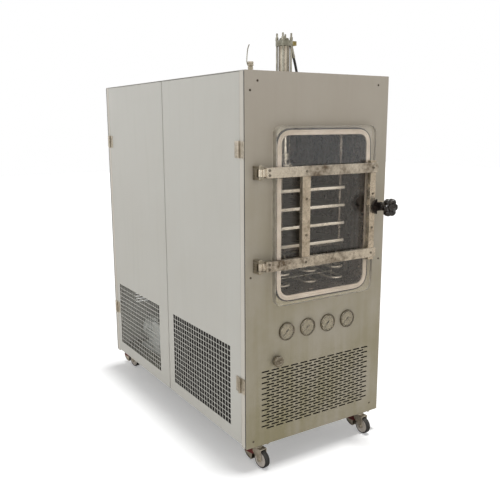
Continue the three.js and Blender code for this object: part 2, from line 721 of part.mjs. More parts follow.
piece('cylinder_base_head', cylinderBaseHead(), FINISH.zinc);
piece('cylinder_tube', cylinderTube(), FINISH.stainless);
piece('cylinder_top_head', cylinderTopHead(), FINISH.zinc);
piece('port_fitting', portFitting(), FINISH.brass);
piece('cylinder_hose', swept(HOSE.route, HOSE.radius, 8), FINISH.blackRubber);
piece('hydraulic_unit', hydraulicUnit(), FINISH.darkPaint);
piece('vent_valve', ventValve(), FINISH.zinc);
piece('vent_tube', ventTube(), FINISH.zinc);

// ---------------------------------------------------------------- chamber door

function doorPlate() {
  const outline = roundedRectangle(DOOR.x0, DOOR.x1, DOOR.z0, DOOR.z1, DOOR.corner);
  return slab(outline, DOOR.front, DOOR.back);
}

// Two bars cross the door and end in hinge eyes. Two uprights join them, and the right one
// carries the ear for the latch.
function doorFrame() {
  const { height, offset, back, front, left, right } = BAR;
  const { x, y, radius } = DOOR_PIN;
  const lower = MIDDLE_Z - offset;
  const upper = MIDDLE_Z + offset;
  const parts = [
    box(227, 265, front, back, lower, upper),
    box(571, 600, front, back, lower - 10, upper + 10),
    box(598, LATCH.x + 16, front, front + 12, LATCH.z - 20, LATCH.z + 20),
  ];
  for (const z of [lower, upper]) {
    parts.push(box(left, right, front, back, z - height / 2, z + height / 2));
    parts.push(box(x, left + 1, y - 5, y + 3.5, z - 14, z + 14));
    parts.push(round('z', 8, z - 14, z + 14, [x, y], 12));
  }
  return without(
    union(...parts),
    round('z', radius + GAP, lower - 30, upper + 30, [x, y], 12),
    round('y', LATCH.holeRadius, front - 1, back, [LATCH.x, LATCH.z]),
  );
}

// A block screwed to the front panel, with an ear above and below the door's eye and the pin
// pressed through both.
function hingeBlock(z) {
  const { x, y, radius } = DOOR_PIN;
  const block = box(34, 56, -44, -GAP, z - 26, z + 26);
  const slot = box(33, 57, -45, -22, z - 14.6, z + 14.6);
  return union(without(block, slot), round('z', radius, z - 29, z + 29, [x, y], 12));
}

// The clamp under the knob: a rounded jaw over the door's upright, and a neck round the stud.
function latchClamp() {
  const jawEdge = 604;
  const half = 31;
  const bulge = 28;
  const radius = (half * half + bulge * bulge) / (2 * bulge);
  const sweep = Math.asin(half / radius);
  const centreX = jawEdge - bulge + radius;
  const shape = new THREE.Shape();
  shape.moveTo(jawEdge, LATCH.z + half);
  shape.absarc(centreX, LATCH.z, radius, Math.PI - sweep, Math.PI + sweep, false);
  shape.lineTo(jawEdge, LATCH.z - KNOB.hubRadius);
  shape.lineTo(LATCH.x, LATCH.z - KNOB.hubRadius);
  shape.absarc(LATCH.x, LATCH.z, KNOB.hubRadius, -Math.PI / 2, Math.PI / 2, false);
  shape.lineTo(jawEdge, LATCH.z + KNOB.hubRadius);
  const plate = slab(shape, BAR.front - 10.3, BAR.front - GAP, 8);
  const hole = round('y', LATCH.holeRadius, BAR.front - 12, BAR.front + 1, [LATCH.x, LATCH.z]);
  return plate.subtract(hole);
}

// A lobed knob on a hub, with its stud reaching the boss on the front panel. Built round Y.
function starKnob() {
  const { hubFront, front, hubRadius, radius, lobes } = KNOB;
  const depth = 4;
  const outline = [];
  for (let i = 0; i < 8 * lobes; i += 1) {
    const angle = (2 * Math.PI * i) / (8 * lobes);
    const reach = radius - depth + depth * Math.cos(lobes * angle);
    const [across, upwards] = [reach * Math.cos(angle), reach * Math.sin(angle)];
    outline.push(new THREE.Vector2(LATCH.x + across, LATCH.z + upwards));
  }
  const hubBack = BAR.front - 10.6;
  return union(
    slab(new THREE.Shape(outline), front, hubFront),
    round('y', hubRadius, hubFront - 1, hubBack, [LATCH.x, LATCH.z]),
    round('y', LATCH.studRadius, hubBack - 1, LATCH.tip, [LATCH.x, LATCH.z], 12),
  );
}

piece('door_plate', doorPlate(), FINISH.acrylic);
piece('door_frame', doorFrame(), FINISH.stainless);
piece('door_hinge_upper', hingeBlock(MIDDLE_Z + BAR.offset), FINISH.darkStainless);
piece('door_hinge_lower', hingeBlock(MIDDLE_Z - BAR.offset), FINISH.darkStainless);
piece('latch_clamp', latchClamp(), FINISH.blackPlastic);
piece('star_knob', starKnob(), FINISH.blackPlastic);

// ---------------------------------------------------------------- gauges and valve knob

// Case and bezel in one turning; the dial lies in the recess behind the bezel's rim.
function gaugeCase() {
  const rim = GAUGES.radius;
  return turned('y', [
    [0, 48], [6, 48], [6, 34], [32.5, 34], [32.5, -GAP], [rim, -GAP], [rim, -6.5], [rim - 2, -8],
    [rim - 5.5, -8], [rim - 5.5, -3], [0, -3],
  ], 16);
}

// The pointer lies over the dial, pointing to the scale's start at the lower left.
function gaugeNeedle() {
  const shape = new THREE.Shape();
  shape.moveTo(-1.6, -8);
  shape.lineTo(1.6, -8);
  shape.lineTo(0.5, 25);
  shape.lineTo(-0.5, 25);
  const needle = union(slab(shape, -5, -4), round('y', 3, -5.5, -3.5, [0, 0], 8));
  return needle.rotate([0, -135, 0]);
}

function valveKnob() {
  return turned('y', [
    [0, 24], [4.5, 24], [4.5, -4], [9, -4], [9, -10], [VALVE_KNOB.radius - 1.5, -10],
    [VALVE_KNOB.radius, -12], [VALVE_KNOB.radius, -23], [VALVE_KNOB.radius - 3, -26], [0, -26],
  ], 12);
}

GAUGES.x.forEach((x, i) => {
  const place = new THREE.Group();
  place.position.set(x, 0, GAUGES.z);
  cabinet.add(place);
  piece(`gauge_case_${i + 1}`, gaugeCase(), FINISH.zinc, place);
  piece(`gauge_needle_${i + 1}`, gaugeNeedle(), FINISH.blackPlastic, place);
});

const knobPlace = new THREE.Group();
knobPlace.position.set(VALVE_KNOB.x, 0, VALVE_KNOB.z);
cabinet.add(knobPlace);
piece('valve_knob', valveKnob(), FINISH.zinc, knobPlace);

// ---------------------------------------------------------------- casters

// Each caster is built about its swivel axis, with the wheel trailing along +X.
const AXLE_Z = CASTER.wheelRadius - CASTER_HEIGHT;
const FORK = { inner: CASTER.wheelWidth / 2 + 2, sheet: 3, back: -12, front: CASTER.trail + 9 };
const CROWN = { bottom: -22, top: -18 };
const PEDAL_PIN = { x: -6, z: -33, radius: 4.5 };
const PEDAL = { halfWidth: 12, sheet: 2.5 };

function casterFork() {
  const { inner, sheet, back, front } = FORK;
  const outer = inner + sheet;
  const legOutline = new THREE.Shape();
  legOutline.moveTo(back, CROWN.bottom + 1);
  legOutline.lineTo(back, -40);
  legOutline.lineTo(-8, -44);
  legOutline.lineTo(CASTER.trail - 11, AXLE_Z - 3);
  legOutline.absarc(CASTER.trail, AXLE_Z, 11, Math.PI, 2 * Math.PI, false);
  legOutline.lineTo(front, CROWN.bottom + 1);
  return union(
    round('z', SWIVEL_HEAD.radius, CROWN.top - 1, SWIVEL_HEAD.bottom - GAP, [0, 0], 12),
    box(back, front, -outer, outer, CROWN.bottom, CROWN.top),
    slab(legOutline, -outer, -inner, 4),
    slab(legOutline, inner, outer, 4),
    round('y', 4, -outer - 3, outer + 3, [CASTER.trail, AXLE_Z], 8),
  );
}

function casterWheel() {
  const half = CASTER.wheelWidth / 2;
  const sides = 20;
  const tread = CASTER.wheelRadius / Math.cos(Math.PI / sides);
  const wheel = turned('y', [
    [0, -half], [tread - 3, -half], [tread, -half + 3],
    [tread, half - 3], [tread - 3, half], [0, half],
  ], sides);
  const bore = round('y', 4.3, -half - 1, half + 1, [0, 0], 8);
  return wheel.subtract(bore).translate([CASTER.trail, 0, AXLE_Z]);
}

function outlineOf(points) {
  return new THREE.Shape(points.map(([x, z]) => new THREE.Vector2(x, z)));
}

// The brake: a rounded tread hung on a pin between the fork's legs, and under it a pressed cup
// that is open towards the wheel.
function brakePedal() {
  const { x, z, radius } = PEDAL_PIN;
  const { halfWidth, sheet } = PEDAL;
  const tread = outlineOf([
    [-8, -44], [-12, -54], [-20, -59], [-64, -62], [-72, -57], [-72, -49], [-66, -43], [-46, -37],
    [-20, -33], [x, z + 4], [-2, -37],
  ]);
  const cup = outlineOf([[-22, -58], [-27, -86], [-42, -84], [-58, -76], [-68, -65], [-71, -57]]);
  const hollow = outlineOf([
    [-10, -61], [-10, -97], [-27, -86 + sheet], [-41, -84 + sheet], [-56, -76 + sheet],
    [-68 + sheet, -64], [-70 + sheet, -63],
  ]);
  const inner = halfWidth - sheet;
  return union(
    slab(tread, -halfWidth, halfWidth),
    without(slab(cup, -halfWidth, halfWidth), slab(hollow, -inner, inner)),
    round('y', radius, -FORK.inner + GAP, FORK.inner - GAP, [x, z], 8),
  );
}

for (const { name, x, y, heading } of CASTER_CENTRES) {
  const swivel = new THREE.Group();
  swivel.position.set(x, y, 0);
  swivel.rotation.z = THREE.MathUtils.degToRad(heading);
  cabinet.add(swivel);
  piece(`caster_fork_${name}`, casterFork(), FINISH.zinc, swivel);
  piece(`caster_wheel_${name}`, casterWheel(), FINISH.blackRubber, swivel);
  piece(`brake_pedal_${name}`, brakePedal(), FINISH.redPlastic, swivel);
}

// ---------------------------------------------------------------- machinery inside

const PAN_TOP = RAIL.height + SHEET + 2 * GAP;
const CONDENSER = { x0: 90, x1: 610, y0: 26, y1: 66, z0: PAN_TOP, z1: 330 };
const FAN = { x: 350, z: 190, radius: 112, y0: 84, y1: 112 };

// A finned block with end plates, and a bracket behind it that holds the fan's motor.
function condenser() {
  const { x0, x1, y0, y1, z0, z1 } = CONDENSER;
  const parts = [
    box(x0, x1, y0, y1, z0 + 20, z1),
    box(x0 - 4, x0 + 1, y0 - 6, y1 + 6, z0, z1 + 6),
    box(x1 - 1, x1 + 4, y0 - 6, y1 + 6, z0, z1 + 6),
    round('y', 34, FAN.y1 + 8, FAN.y1 + 70, [FAN.x, FAN.z], 12),
    round('y', 5, FAN.y0 + 6, FAN.y1 + 9, [FAN.x, FAN.z], 8),
    box(FAN.x - 130, FAN.x + 130, FAN.y1 + 14, FAN.y1 + 20, FAN.z - 12, FAN.z + 12),
  ];
  for (const x of [FAN.x - 130, FAN.x + 124]) {
    parts.push(box(x, x + 6, y1 - 1, FAN.y1 + 20, FAN.z - 12, FAN.z + 12));
  }
  return union(...parts);
}

function fanRotor() {
  const middle = (FAN.y0 + FAN.y1) / 2;
  const parts = [round('y', 32, FAN.y0, FAN.y1, [0, 0], 12)];
  for (let i = 0; i < 5; i += 1) {
    const blade = box(24, FAN.radius, -1.5, 1.5, -26, 26).rotate([28, 0, 0]);
    parts.push(blade.translate([0, middle, 0]).rotate([0, 72 * i, 0]));
  }
  return union(...parts).subtract(round('y', 5.4, FAN.y0 + 5, FAN.y1 + 1, [0, 0], 8));
}

function compressor() {
  const base = PAN_TOP;
  const shell = turned('z', [
    [0, base + 20], [60, base + 20], [98, base + 45], [105, base + 60], [105, base + 150],
    [98, base + 160], [98, base + 225], [80, base + 260], [40, base + 275], [0, base + 278],
  ], 12);
  const parts = [shell, box(-90, 90, -90, 90, base + 14, base + 24)];
  for (const x of [-80, 80]) {
    for (const y of [-80, 80]) parts.push(round('z', 12, base, base + 15, [x, y], 8));
  }
  return union(...parts).translate([350, 400, 0]);
}

// A rotary pump: its oil box in front of its motor on one base, and the inlet on top.
const PUMP = { x: 190, y0: 960, y1: 1310, inletY: 1060, top: 300 };

function vacuumPump() {
  const z = PAN_TOP;
  return union(
    box(PUMP.x - 75, PUMP.x + 75, PUMP.y0, PUMP.y1, z, z + 14),
    box(PUMP.x - 80, PUMP.x + 80, PUMP.y0 + 10, PUMP.y0 + 180, z + 13, z + 190),
    round('y', 72, PUMP.y0 + 179, PUMP.y1 - 10, [PUMP.x, z + 100], 16),
    box(PUMP.x - 50, PUMP.x + 50, PUMP.y0 + 200, PUMP.y1 - 40, z + 13, z + 60),
    round('z', 22, z + 189, PUMP.top, [PUMP.x, PUMP.inletY], 12),
  );
}

// The vacuum line runs from the chamber's back to the pump's inlet.
function vacuumPipe() {
  const { x, z } = VACUUM_PORT;
  const back = CHAMBER.depth + CHAMBER.wall + GAP;
  return swept([
    [x, back, z], [x, back + 60, z], [x - 4, back + 130, z - 8], [x - 30, back + 215, z - 50],
    [x - 90, back + 320, z - 170], [x - 145, back + 430, z - 330], [PUMP.x + 6, PUMP.inletY - 14, 480],
    [PUMP.x, PUMP.inletY, 400], [PUMP.x, PUMP.inletY, PUMP.top + GAP],
  ], 20, 10);
}

const fanPlace = new THREE.Group();
fanPlace.position.set(FAN.x, 0, FAN.z);
cabinet.add(fanPlace);
piece('fan_rotor', fanRotor(), FINISH.darkPaint, fanPlace);
piece('condenser', condenser(), FINISH.copper);
piece('compressor', compressor(), FINISH.darkPaint);
piece('vacuum_pump', vacuumPump(), FINISH.pumpPaint);
piece('vacuum_pipe', vacuumPipe(), FINISH.stainless);

export default machine;
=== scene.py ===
import math

import bmesh
import bpy
import numpy as np
from mathutils import Matrix, Vector


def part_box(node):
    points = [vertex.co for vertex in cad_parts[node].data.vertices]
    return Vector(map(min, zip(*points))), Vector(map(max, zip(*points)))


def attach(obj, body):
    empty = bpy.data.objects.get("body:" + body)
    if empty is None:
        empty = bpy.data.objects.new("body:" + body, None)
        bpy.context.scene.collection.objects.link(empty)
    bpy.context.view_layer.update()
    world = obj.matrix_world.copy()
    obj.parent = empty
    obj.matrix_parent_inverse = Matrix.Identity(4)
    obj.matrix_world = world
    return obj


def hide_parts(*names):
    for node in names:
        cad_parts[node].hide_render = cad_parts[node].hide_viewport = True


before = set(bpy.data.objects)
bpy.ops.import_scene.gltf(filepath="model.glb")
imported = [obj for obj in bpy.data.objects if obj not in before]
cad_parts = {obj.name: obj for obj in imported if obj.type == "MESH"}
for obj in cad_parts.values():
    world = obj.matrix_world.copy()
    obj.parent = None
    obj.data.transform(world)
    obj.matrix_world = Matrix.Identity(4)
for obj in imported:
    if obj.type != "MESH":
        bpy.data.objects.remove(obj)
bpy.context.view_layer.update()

# ---------------------------------------------------------------- camera
# A 46 mm lens on a full-frame body, standing 2.6 m in front of the cabinet and well to its
# left, and looking slightly down on it.

EYE = (-1.58586, -2.61704, 1.37375)
LENS = 45.85
YAW, PITCH, ROLL = map(math.radians, (32.54, -11.26, -0.19))

ahead = Vector((math.sin(YAW) * math.cos(PITCH), math.cos(YAW) * math.cos(PITCH), math.sin(PITCH)))
level_right = Vector((math.cos(YAW), -math.sin(YAW), 0))
level_up = level_right.cross(ahead)
right = math.cos(ROLL) * level_right + math.sin(ROLL) * level_up
up = math.cos(ROLL) * level_up - math.sin(ROLL) * level_right

camera = bpy.data.objects.new("camera", bpy.data.cameras.new("camera"))
camera.data.lens = LENS
camera.data.sensor_width = 36
turn = Matrix((right, up, -ahead)).transposed().to_4x4()
camera.matrix_world = Matrix.Translation(EYE) @ turn
bpy.context.collection.objects.link(camera)
bpy.context.scene.camera = camera

# ---------------------------------------------------------------- hose
# A black rubber hydraulic hose, 11 mm outside. It leaves the slanted sleeve at the cylinder's
# upper head and passes down through the roof into the hydraulic unit's port.

# The cabinet is measured in millimetres from the lower left corner of its front panel.
CORNER = np.array(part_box("front_panel")[0])
CORNER[1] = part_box("top_panel")[0].y - 0.0023


def metres(points):
    """Cabinet millimetres to the row's metres: a thousandth of each, plus the corner's place."""
    return np.asarray(points, dtype=float) / 1000 + CORNER


def node(tree, kind, inputs=None, **settings):
    """A shader node; each input takes a plain value, or another node's output as a link."""
    new = tree.nodes.new("ShaderNode" + kind)
    for name, value in settings.items():
        setattr(new, name, value)
    for name, value in (inputs or {}).items():
        if isinstance(value, bpy.types.NodeSocket):
            tree.links.new(value, new.inputs[name])
        else:
            new.inputs[name].default_value = value
    return new


def colour(red, green, blue):
    """A colour given as 0 to 255 display values, as the shader's linear values: the display
    value over 255, raised by the display's curve."""
    shown = np.array([red, green, blue]) / 255
    linear = np.where(shown <= 0.04045, shown / 12.92, ((shown + 0.055) / 1.055) ** 2.4)
    return (*linear.tolist(), 1.0)


def tint(tree, amount, low, high):
    """Moves from one colour to another as the amount goes from 0 to 1."""
    mix = node(tree, "Mix", {0: amount, 6: low, 7: high}, data_type="RGBA")
    return mix.outputs[2]


def ranged(tree, value, low, high, new_low=0.0, new_high=1.0):
    """Stretches a value from one range to another, and stops it at the ends."""
    inputs = {"Value": value, "From Min": low, "From Max": high, "To Min": new_low,
              "To Max": new_high}
    return node(tree, "MapRange", inputs).outputs[0]


def noise(tree, where, scale, detail=3.0, roughness=0.55):
    """A noise of so many cells to the metre, between 0 and 1."""
    inputs = {"Vector": where, "Scale": scale, "Detail": detail, "Roughness": roughness}
    return node(tree, "TexNoise", inputs).outputs[0]


def object_place(tree):
    """The point's own coordinates on its object, in metres."""
    return node(tree, "TexCoord").outputs["Object"]


def material(name, build, **constants):
    """A Principled surface. `build` returns its varying inputs by name, with a bump's strength
    and reach beside its height; the rest are plain values on the shader's own sockets."""
    new = bpy.data.materials.new(name)
    new.use_nodes = True
    tree = new.node_tree
    shader = tree.nodes["Principled BSDF"]
    for socket, value in constants.items():
        shader.inputs[socket.replace("_", " ")].default_value = value
    varying = build(tree)
    if "Height" in varying:
        height, strength, reach = varying.pop("Height")
        inputs = {"Height": height, "Strength": strength, "Distance": reach}
        varying["Normal"] = node(tree, "Bump", inputs).outputs[0]
    for socket, value in varying.items():
        tree.links.new(value, shader.inputs[socket])
    return new


def group(name, inputs, outputs, build):
    """A shader node group. `inputs` maps names to default numbers or vectors, `outputs` lists
    names with their socket types, and `build` wires them up inside."""
    tree = bpy.data.node_groups.new(name, "ShaderNodeTree")
    for label, value in inputs.items():
        kind = "NodeSocketFloat" if isinstance(value, float) else "NodeSocketVector"
        socket = tree.interface.new_socket(label, in_out="INPUT", socket_type=kind)
        socket.default_value = value
    for label in outputs:
        tree.interface.new_socket(label, in_out="OUTPUT", socket_type="NodeSocketFloat")
    entry = tree.nodes.new("NodeGroupInput")
    leave = tree.nodes.new("NodeGroupOutput")
    for label, value in build(tree, entry.outputs).items():
        tree.links.new(value, leave.inputs[label])
    return tree


def use(tree, shared, **values):
    """The outputs of a shared group placed in a material with that material's own values."""
    placed = tree.nodes.new("ShaderNodeGroup")
    placed.node_tree = shared
    for label, value in values.items():
        placed.inputs[label].default_value = value
    return placed.outputs


def math_node(tree, operation, first, second=0.0):
    """One sum of two values."""
    return node(tree, "Math", {0: first, 1: second}, operation=operation).outputs[0]


def dust_mask(tree, entry):
    """How much dust lies at a point: more on faces that look up, broken up by two noises."""
    facing = node(tree, "NewGeometry").outputs["Normal"]
    upward = node(tree, "SeparateXYZ", {0: facing}).outputs["Z"]
    lying = ranged(tree, upward, 0.2, 1.0, 0.12, 1.0)
    where = object_place(tree)
    cloud = ranged(tree, noise(tree, where, 9.0, 4.0), 0.35, 0.75)
    speck = ranged(tree, noise(tree, where, 420.0, 2.0), 0.52, 0.7, 0.35, 1.0)
    broken = math_node(tree, "MULTIPLY", cloud, speck)
    laid = math_node(tree, "MULTIPLY", lying, broken)
    return {"Dust": math_node(tree, "MULTIPLY", laid, entry["Amount"])}


DUST = group("dust", {"Amount": 1.0}, ["Dust"], dust_mask)


def rubber_surface(base, worn, bump):
    """Rubber: a fine moulded grain, rubbed paler patches and settled dust."""
    def build(tree):
        where = object_place(tree)
        patch = ranged(tree, noise(tree, where, 60.0, 4.0), 0.4, 0.7)
        dust = use(tree, DUST, Amount=0.35)["Dust"]
        bare = tint(tree, patch, base, worn)
        return {
            "Base Color": tint(tree, dust, bare, colour(150, 143, 132)),
            "Roughness": ranged(tree, patch, 0.0, 1.0, 0.42, 0.66),
            "Height": (noise(tree, where, 900.0, 2.0), bump, 0.0004),
        }
    return build


HOSE_ROUTE = metres([
    [411, 266, 1540], [415.5, 266, 1525], [420, 266, 1510], [424, 266, 1495],
    [427.5, 266, 1480], [430.5, 266, 1465], [433, 266, 1450], [435, 266, 1435],
    [436.3, 266, 1420], [437, 266, 1407], [437, 266, 1398],
])
HOSE_DIAMETER = 0.011

RUBBER = material(
    "black_rubber", rubber_surface(colour(30, 29, 28), colour(52, 49, 46), 0.35), IOR=1.5)


def spline_through(points, steps):
    """A smooth curve through its points: between two of them it is the cubic whose slope at
    each end is half the step from the point before to the point after."""
    points = np.asarray(points, dtype=float)
    padded = np.vstack([2 * points[0] - points[1], points, 2 * points[-1] - points[-2]])
    a, b, c, d = padded[:-3], padded[1:-2], padded[2:-1], padded[3:]
    t = np.linspace(0, 1, steps, endpoint=False)[:, None, None]
    curve = b + 0.5 * t * (c - a + t * (2 * a - 5 * b + 4 * c - d + t * (3 * (b - c) + d - a)))
    return np.vstack([curve.transpose(1, 0, 2).reshape(-1, points.shape[1]), points[-1:]])


def hose_curve(name, route, diameter):
    """A curve of one open spline through the route, thickened to the hose's diameter."""
    data = bpy.data.curves.new(name, "CURVE")
    data.dimensions = "3D"
    spline = data.splines.new("POLY")
    spline.points.add(len(route) - 1)
    spline.points.foreach_set("co", np.column_stack([route, np.ones(len(route))]).ravel())
    data.bevel_depth = diameter / 2
    data.bevel_resolution = 6
    data.use_fill_caps = True
    data.materials.append(RUBBER)
    curve = bpy.data.objects.new(name, data)
    bpy.context.collection.objects.link(curve)
    return curve


hose = hose_curve("press_hose", spline_through(HOSE_ROUTE, 3), HOSE_DIAMETER)
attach(hose, "cabinet")
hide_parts("cylinder_hose")

# ---------------------------------------------------------------- casters
# Four swivel casters with brakes: zinc-plated forks pressed from 3 mm sheet, black rubber
# tyres on grey cores, and a maroon plastic pad on each brake pedal. Bolted under the frame.


def eased(corners, radius, steps=3, closed=False):
    """A path with rounded corners. Each corner P gives way to the curve (1-t)(1-t)A + 2t(1-t)P
    + ttB, from A before it to B after it, each a radius away or at most 0.45 of its edge."""
    corners = np.asarray(corners, dtype=float)
    radii = np.broadcast_to(np.asarray(radius, dtype=float), len(corners))[:, None]
    to_next = np.roll(corners, -1, axis=0) - corners
    to_last = np.roll(corners, 1, axis=0) - corners
    reach_next = np.linalg.norm(to_next, axis=1, keepdims=True)
    reach_last = np.linalg.norm(to_last, axis=1, keepdims=True)
    start = corners + to_last / reach_last * np.minimum(radii, 0.45 * reach_last)
    end = corners + to_next / reach_next * np.minimum(radii, 0.45 * reach_next)
    if not closed:
        start[[0, -1]] = corners[[0, -1]]
        end[[0, -1]] = corners[[0, -1]]
    t = np.linspace(0, 1, steps + 1)[:, None, None]
    arc = (1 - t) ** 2 * start + 2 * t * (1 - t) * corners + t ** 2 * end
    path = arc.transpose(1, 0, 2).reshape(-1, corners.shape[1])
    step = np.linalg.norm(np.diff(path, axis=0), axis=1)
    return path[np.concatenate([[True], step > 1e-6])]


def skin(loops, ring=False):
    """Points and faces of the surface through closed loops, an array (loops, points, 3). The
    faces join each loop to the next; the end loops are filled, or joined in a ring."""
    count, around = loops.shape[:2]
    index = np.arange(count * around).reshape(count, around)
    lower = index if ring else index[:-1]
    upper = np.roll(index, -1, axis=0) if ring else index[1:]
    quads = np.stack(
        [lower, np.roll(lower, -1, axis=1), np.roll(upper, -1, axis=1), upper], axis=-1)
    faces = quads.reshape(-1, 4).tolist()
    if not ring:
        faces += [index[0, ::-1].tolist(), index[-1].tolist()]
    return loops.reshape(-1, 3), faces


def joined(*parts):
    """One list of points and one of faces from several, each face's numbers moved on by the
    points before it."""
    points, faces, count = [], [], 0
    for part_points, part_faces in parts:
        points.append(part_points)
        faces += [[number + count for number in face] for face in part_faces]
        count += len(part_points)
    return np.vstack(points), faces


def crossed(outline, station, plane):
    """An outline's points at a station along the axis across its plane, as (x, y, z)."""
    flat = np.asarray(outline, dtype=float)
    level = np.full(len(flat), float(station))
    columns = {"xz": (flat[:, 0], level, flat[:, 1]), "xy": (flat[:, 0], flat[:, 1], level),
               "yz": (level, flat[:, 0], flat[:, 1])}
    return np.column_stack(columns[plane])


def inset(outline, distance):
    """The outline with each edge moved inwards by the distance: a point goes along the mean of
    its two edges' outward normals, by the distance over the cosine of half the turn."""
    after = np.roll(outline, -1, axis=0) - outline
    after /= np.linalg.norm(after, axis=1, keepdims=True)
    before = np.roll(after, 1, axis=0)
    normal = np.column_stack([after[:, 1] + before[:, 1], -after[:, 0] - before[:, 0]])
    normal /= np.linalg.norm(normal, axis=1, keepdims=True)
    spread = normal[:, 0] * after[:, 1] - normal[:, 1] * after[:, 0]
    return outline - normal * distance / spread[:, None]


def anticlockwise(outline):
    """The outline in the order whose enclosed area, half the sum of its cross products, is
    above zero."""
    ahead_of = np.roll(outline, -1, axis=0)
    area = (outline[:, 0] * ahead_of[:, 1] - outline[:, 1] * ahead_of[:, 0]).sum()
    return outline if area > 0 else outline[::-1]


def slab(outline, low, high, edge=0.8, plane="xz", steps=2):
    """An outline given thickness, its two rims rounded: at an angle a round the rim the
    outline is moved in by r - r cos a, and its station lies r - r sin a inside the face."""
    outline = anticlockwise(np.asarray(outline, dtype=float))
    angles = np.linspace(math.pi / 2, 0, steps + 1)
    moved, depth = edge * (1 - np.cos(angles)), edge * (1 - np.sin(angles))
    inwards = np.concatenate([moved, moved[::-1]])
    stations = np.concatenate([low + depth, high - depth[::-1]])
    loops = [crossed(inset(outline, m), s, plane) for m, s in zip(inwards, stations)]
    return skin(np.array(loops))


def circle(radius, centre=(0, 0), sides=32):
    """Points at equal angles a: the centre plus the radius times (cos a, sin a)."""
    angle = np.linspace(0, 2 * math.pi, sides, endpoint=False)
    around = np.column_stack([np.cos(angle), np.sin(angle)])
    return np.asarray(centre, dtype=float) + radius * around


ACROSS = {"x": "yz", "y": "xz", "z": "xy"}
POLE = 1e-4


def turned(profile, centre, axis, sides=32):
    """A turned piece: each [radius, station] of the profile becomes a circle of that radius
    across the axis, at the centre's two coordinates. A profile that never comes to the axis
    is closed into a ring."""
    profile = np.asarray(profile, dtype=float)
    loops = [crossed(circle(max(radius, POLE), centre, sides), station, ACROSS[axis])
             for radius, station in profile]
    return skin(np.array(loops), ring=bool(profile[0, 0] > 0 and profile[-1, 0] > 0))


def rectangle(u0, u1, v0, v1, radius=0.0, steps=3):
    """A rectangle's outline, its corners rounded."""
    corners = [[u0, v0], [u1, v0], [u1, v1], [u0, v1]]
    return eased(corners, radius, steps, closed=True) if radius else np.array(corners, dtype=float)


def block(x, y, z, edge=1.0, corner=1.0):
    """A block between pairs of coordinates, with rounded edges and corners."""
    return slab(rectangle(*x, *y, corner), *z, edge=edge, plane="xy")


def parallel_sides(route, reference):
    """Two directions across a route at each station. The first is square to the route and to
    the reference direction; the second is square to the route and to the first."""
    along = np.gradient(route, axis=0)
    along /= np.linalg.norm(along, axis=1, keepdims=True)
    first = np.cross(along, reference)
    first /= np.linalg.norm(first, axis=1, keepdims=True)
    return first, np.cross(first, along)


def tube(route, radius, reference, sides=16):
    """A round bar along a route: a circle at each station, in the plane of its two side
    directions."""
    route = np.asarray(route, dtype=float)
    first, second = parallel_sides(route, reference)
    rim = circle(1.0, sides=sides)
    radius = np.broadcast_to(np.asarray(radius, dtype=float), len(route))[:, None, None]
    loops = route[:, None] + radius * (
        rim[None, :, :1] * first[:, None] + rim[None, :, 1:] * second[:, None])
    return skin(loops)


def hexagon_nut(centre, across, low, high, axis):
    """A hexagonal head with its corners turned off."""
    outline = circle(across / 2 / math.cos(math.pi / 6), centre, 6)
    return slab(outline, min(low, high), max(low, high), across * 0.06, ACROSS[axis])


def cap_screw(centre, head, base, top, axis):
    """A round screw head with a six-sided socket sunk into it."""
    sign = 1 if top > base else -1
    rounded = eased([[0, base], [head, base], [head, top], [head * 0.52, top],
                     [head * 0.52, top - sign * head * 0.5], [0, top - sign * head * 0.5]],
                    head * 0.12, 2)
    return turned(rounded, centre, axis, 12)


def spun(part, degrees, about=(0, 0), axis="z"):
    """A part turned about an axis through a point, by the usual rotation of the two
    coordinates across it."""
    points, faces = part
    u, v = {"z": (0, 1), "y": (2, 0), "x": (1, 2)}[axis]
    centre = about if axis != "y" else about[::-1]
    c, s = math.cos(math.radians(degrees)), math.sin(math.radians(degrees))
    out = points.copy()
    du, dv = points[:, u] - centre[0], points[:, v] - centre[1]
    out[:, u] = centre[0] + c * du - s * dv
    out[:, v] = centre[1] + s * du + c * dv
    return out, faces


def moved(part, by):
    """The part shifted by so much along each axis."""
    return part[0] + np.asarray(by, dtype=float), part[1]


def inside_out(data):
    """Which faces belong to a body that is wound inwards. A body is found by handing the lowest
    point number along the edges until none changes. Its volume is a sixth of the sum of
    a . (b x c) over its triangles, and is negative when its faces look inwards."""
    ends = np.empty(2 * len(data.edges), dtype=np.int32)
    data.edges.foreach_get("vertices", ends)
    first, second = ends.reshape(-1, 2).T
    body = np.arange(len(data.vertices))
    settled = False
    while not settled:
        lower = body.copy()
        np.minimum.at(lower, first, body[second])
        np.minimum.at(lower, second, body[first])
        lower = lower[lower]
        settled = bool((lower == body).all())
        body = lower
    places = np.empty(3 * len(data.vertices))
    data.vertices.foreach_get("co", places)
    data.calc_loop_triangles()
    corners = np.empty(3 * len(data.loop_triangles), dtype=np.int32)
    owners = np.empty(len(data.loop_triangles), dtype=np.int32)
    data.loop_triangles.foreach_get("vertices", corners)
    data.loop_triangles.foreach_get("polygon_index", owners)
    a, b, c = places.reshape(-1, 3)[corners.reshape(-1, 3).T]
    belongs = body[corners[::3]]
    volume = np.bincount(belongs, np.einsum("ij,ij->i", a, np.cross(b, c)), len(body))
    wrong = np.zeros(len(data.polygons), dtype=bool)
    wrong[owners] = volume[belongs] < 0
    return wrong


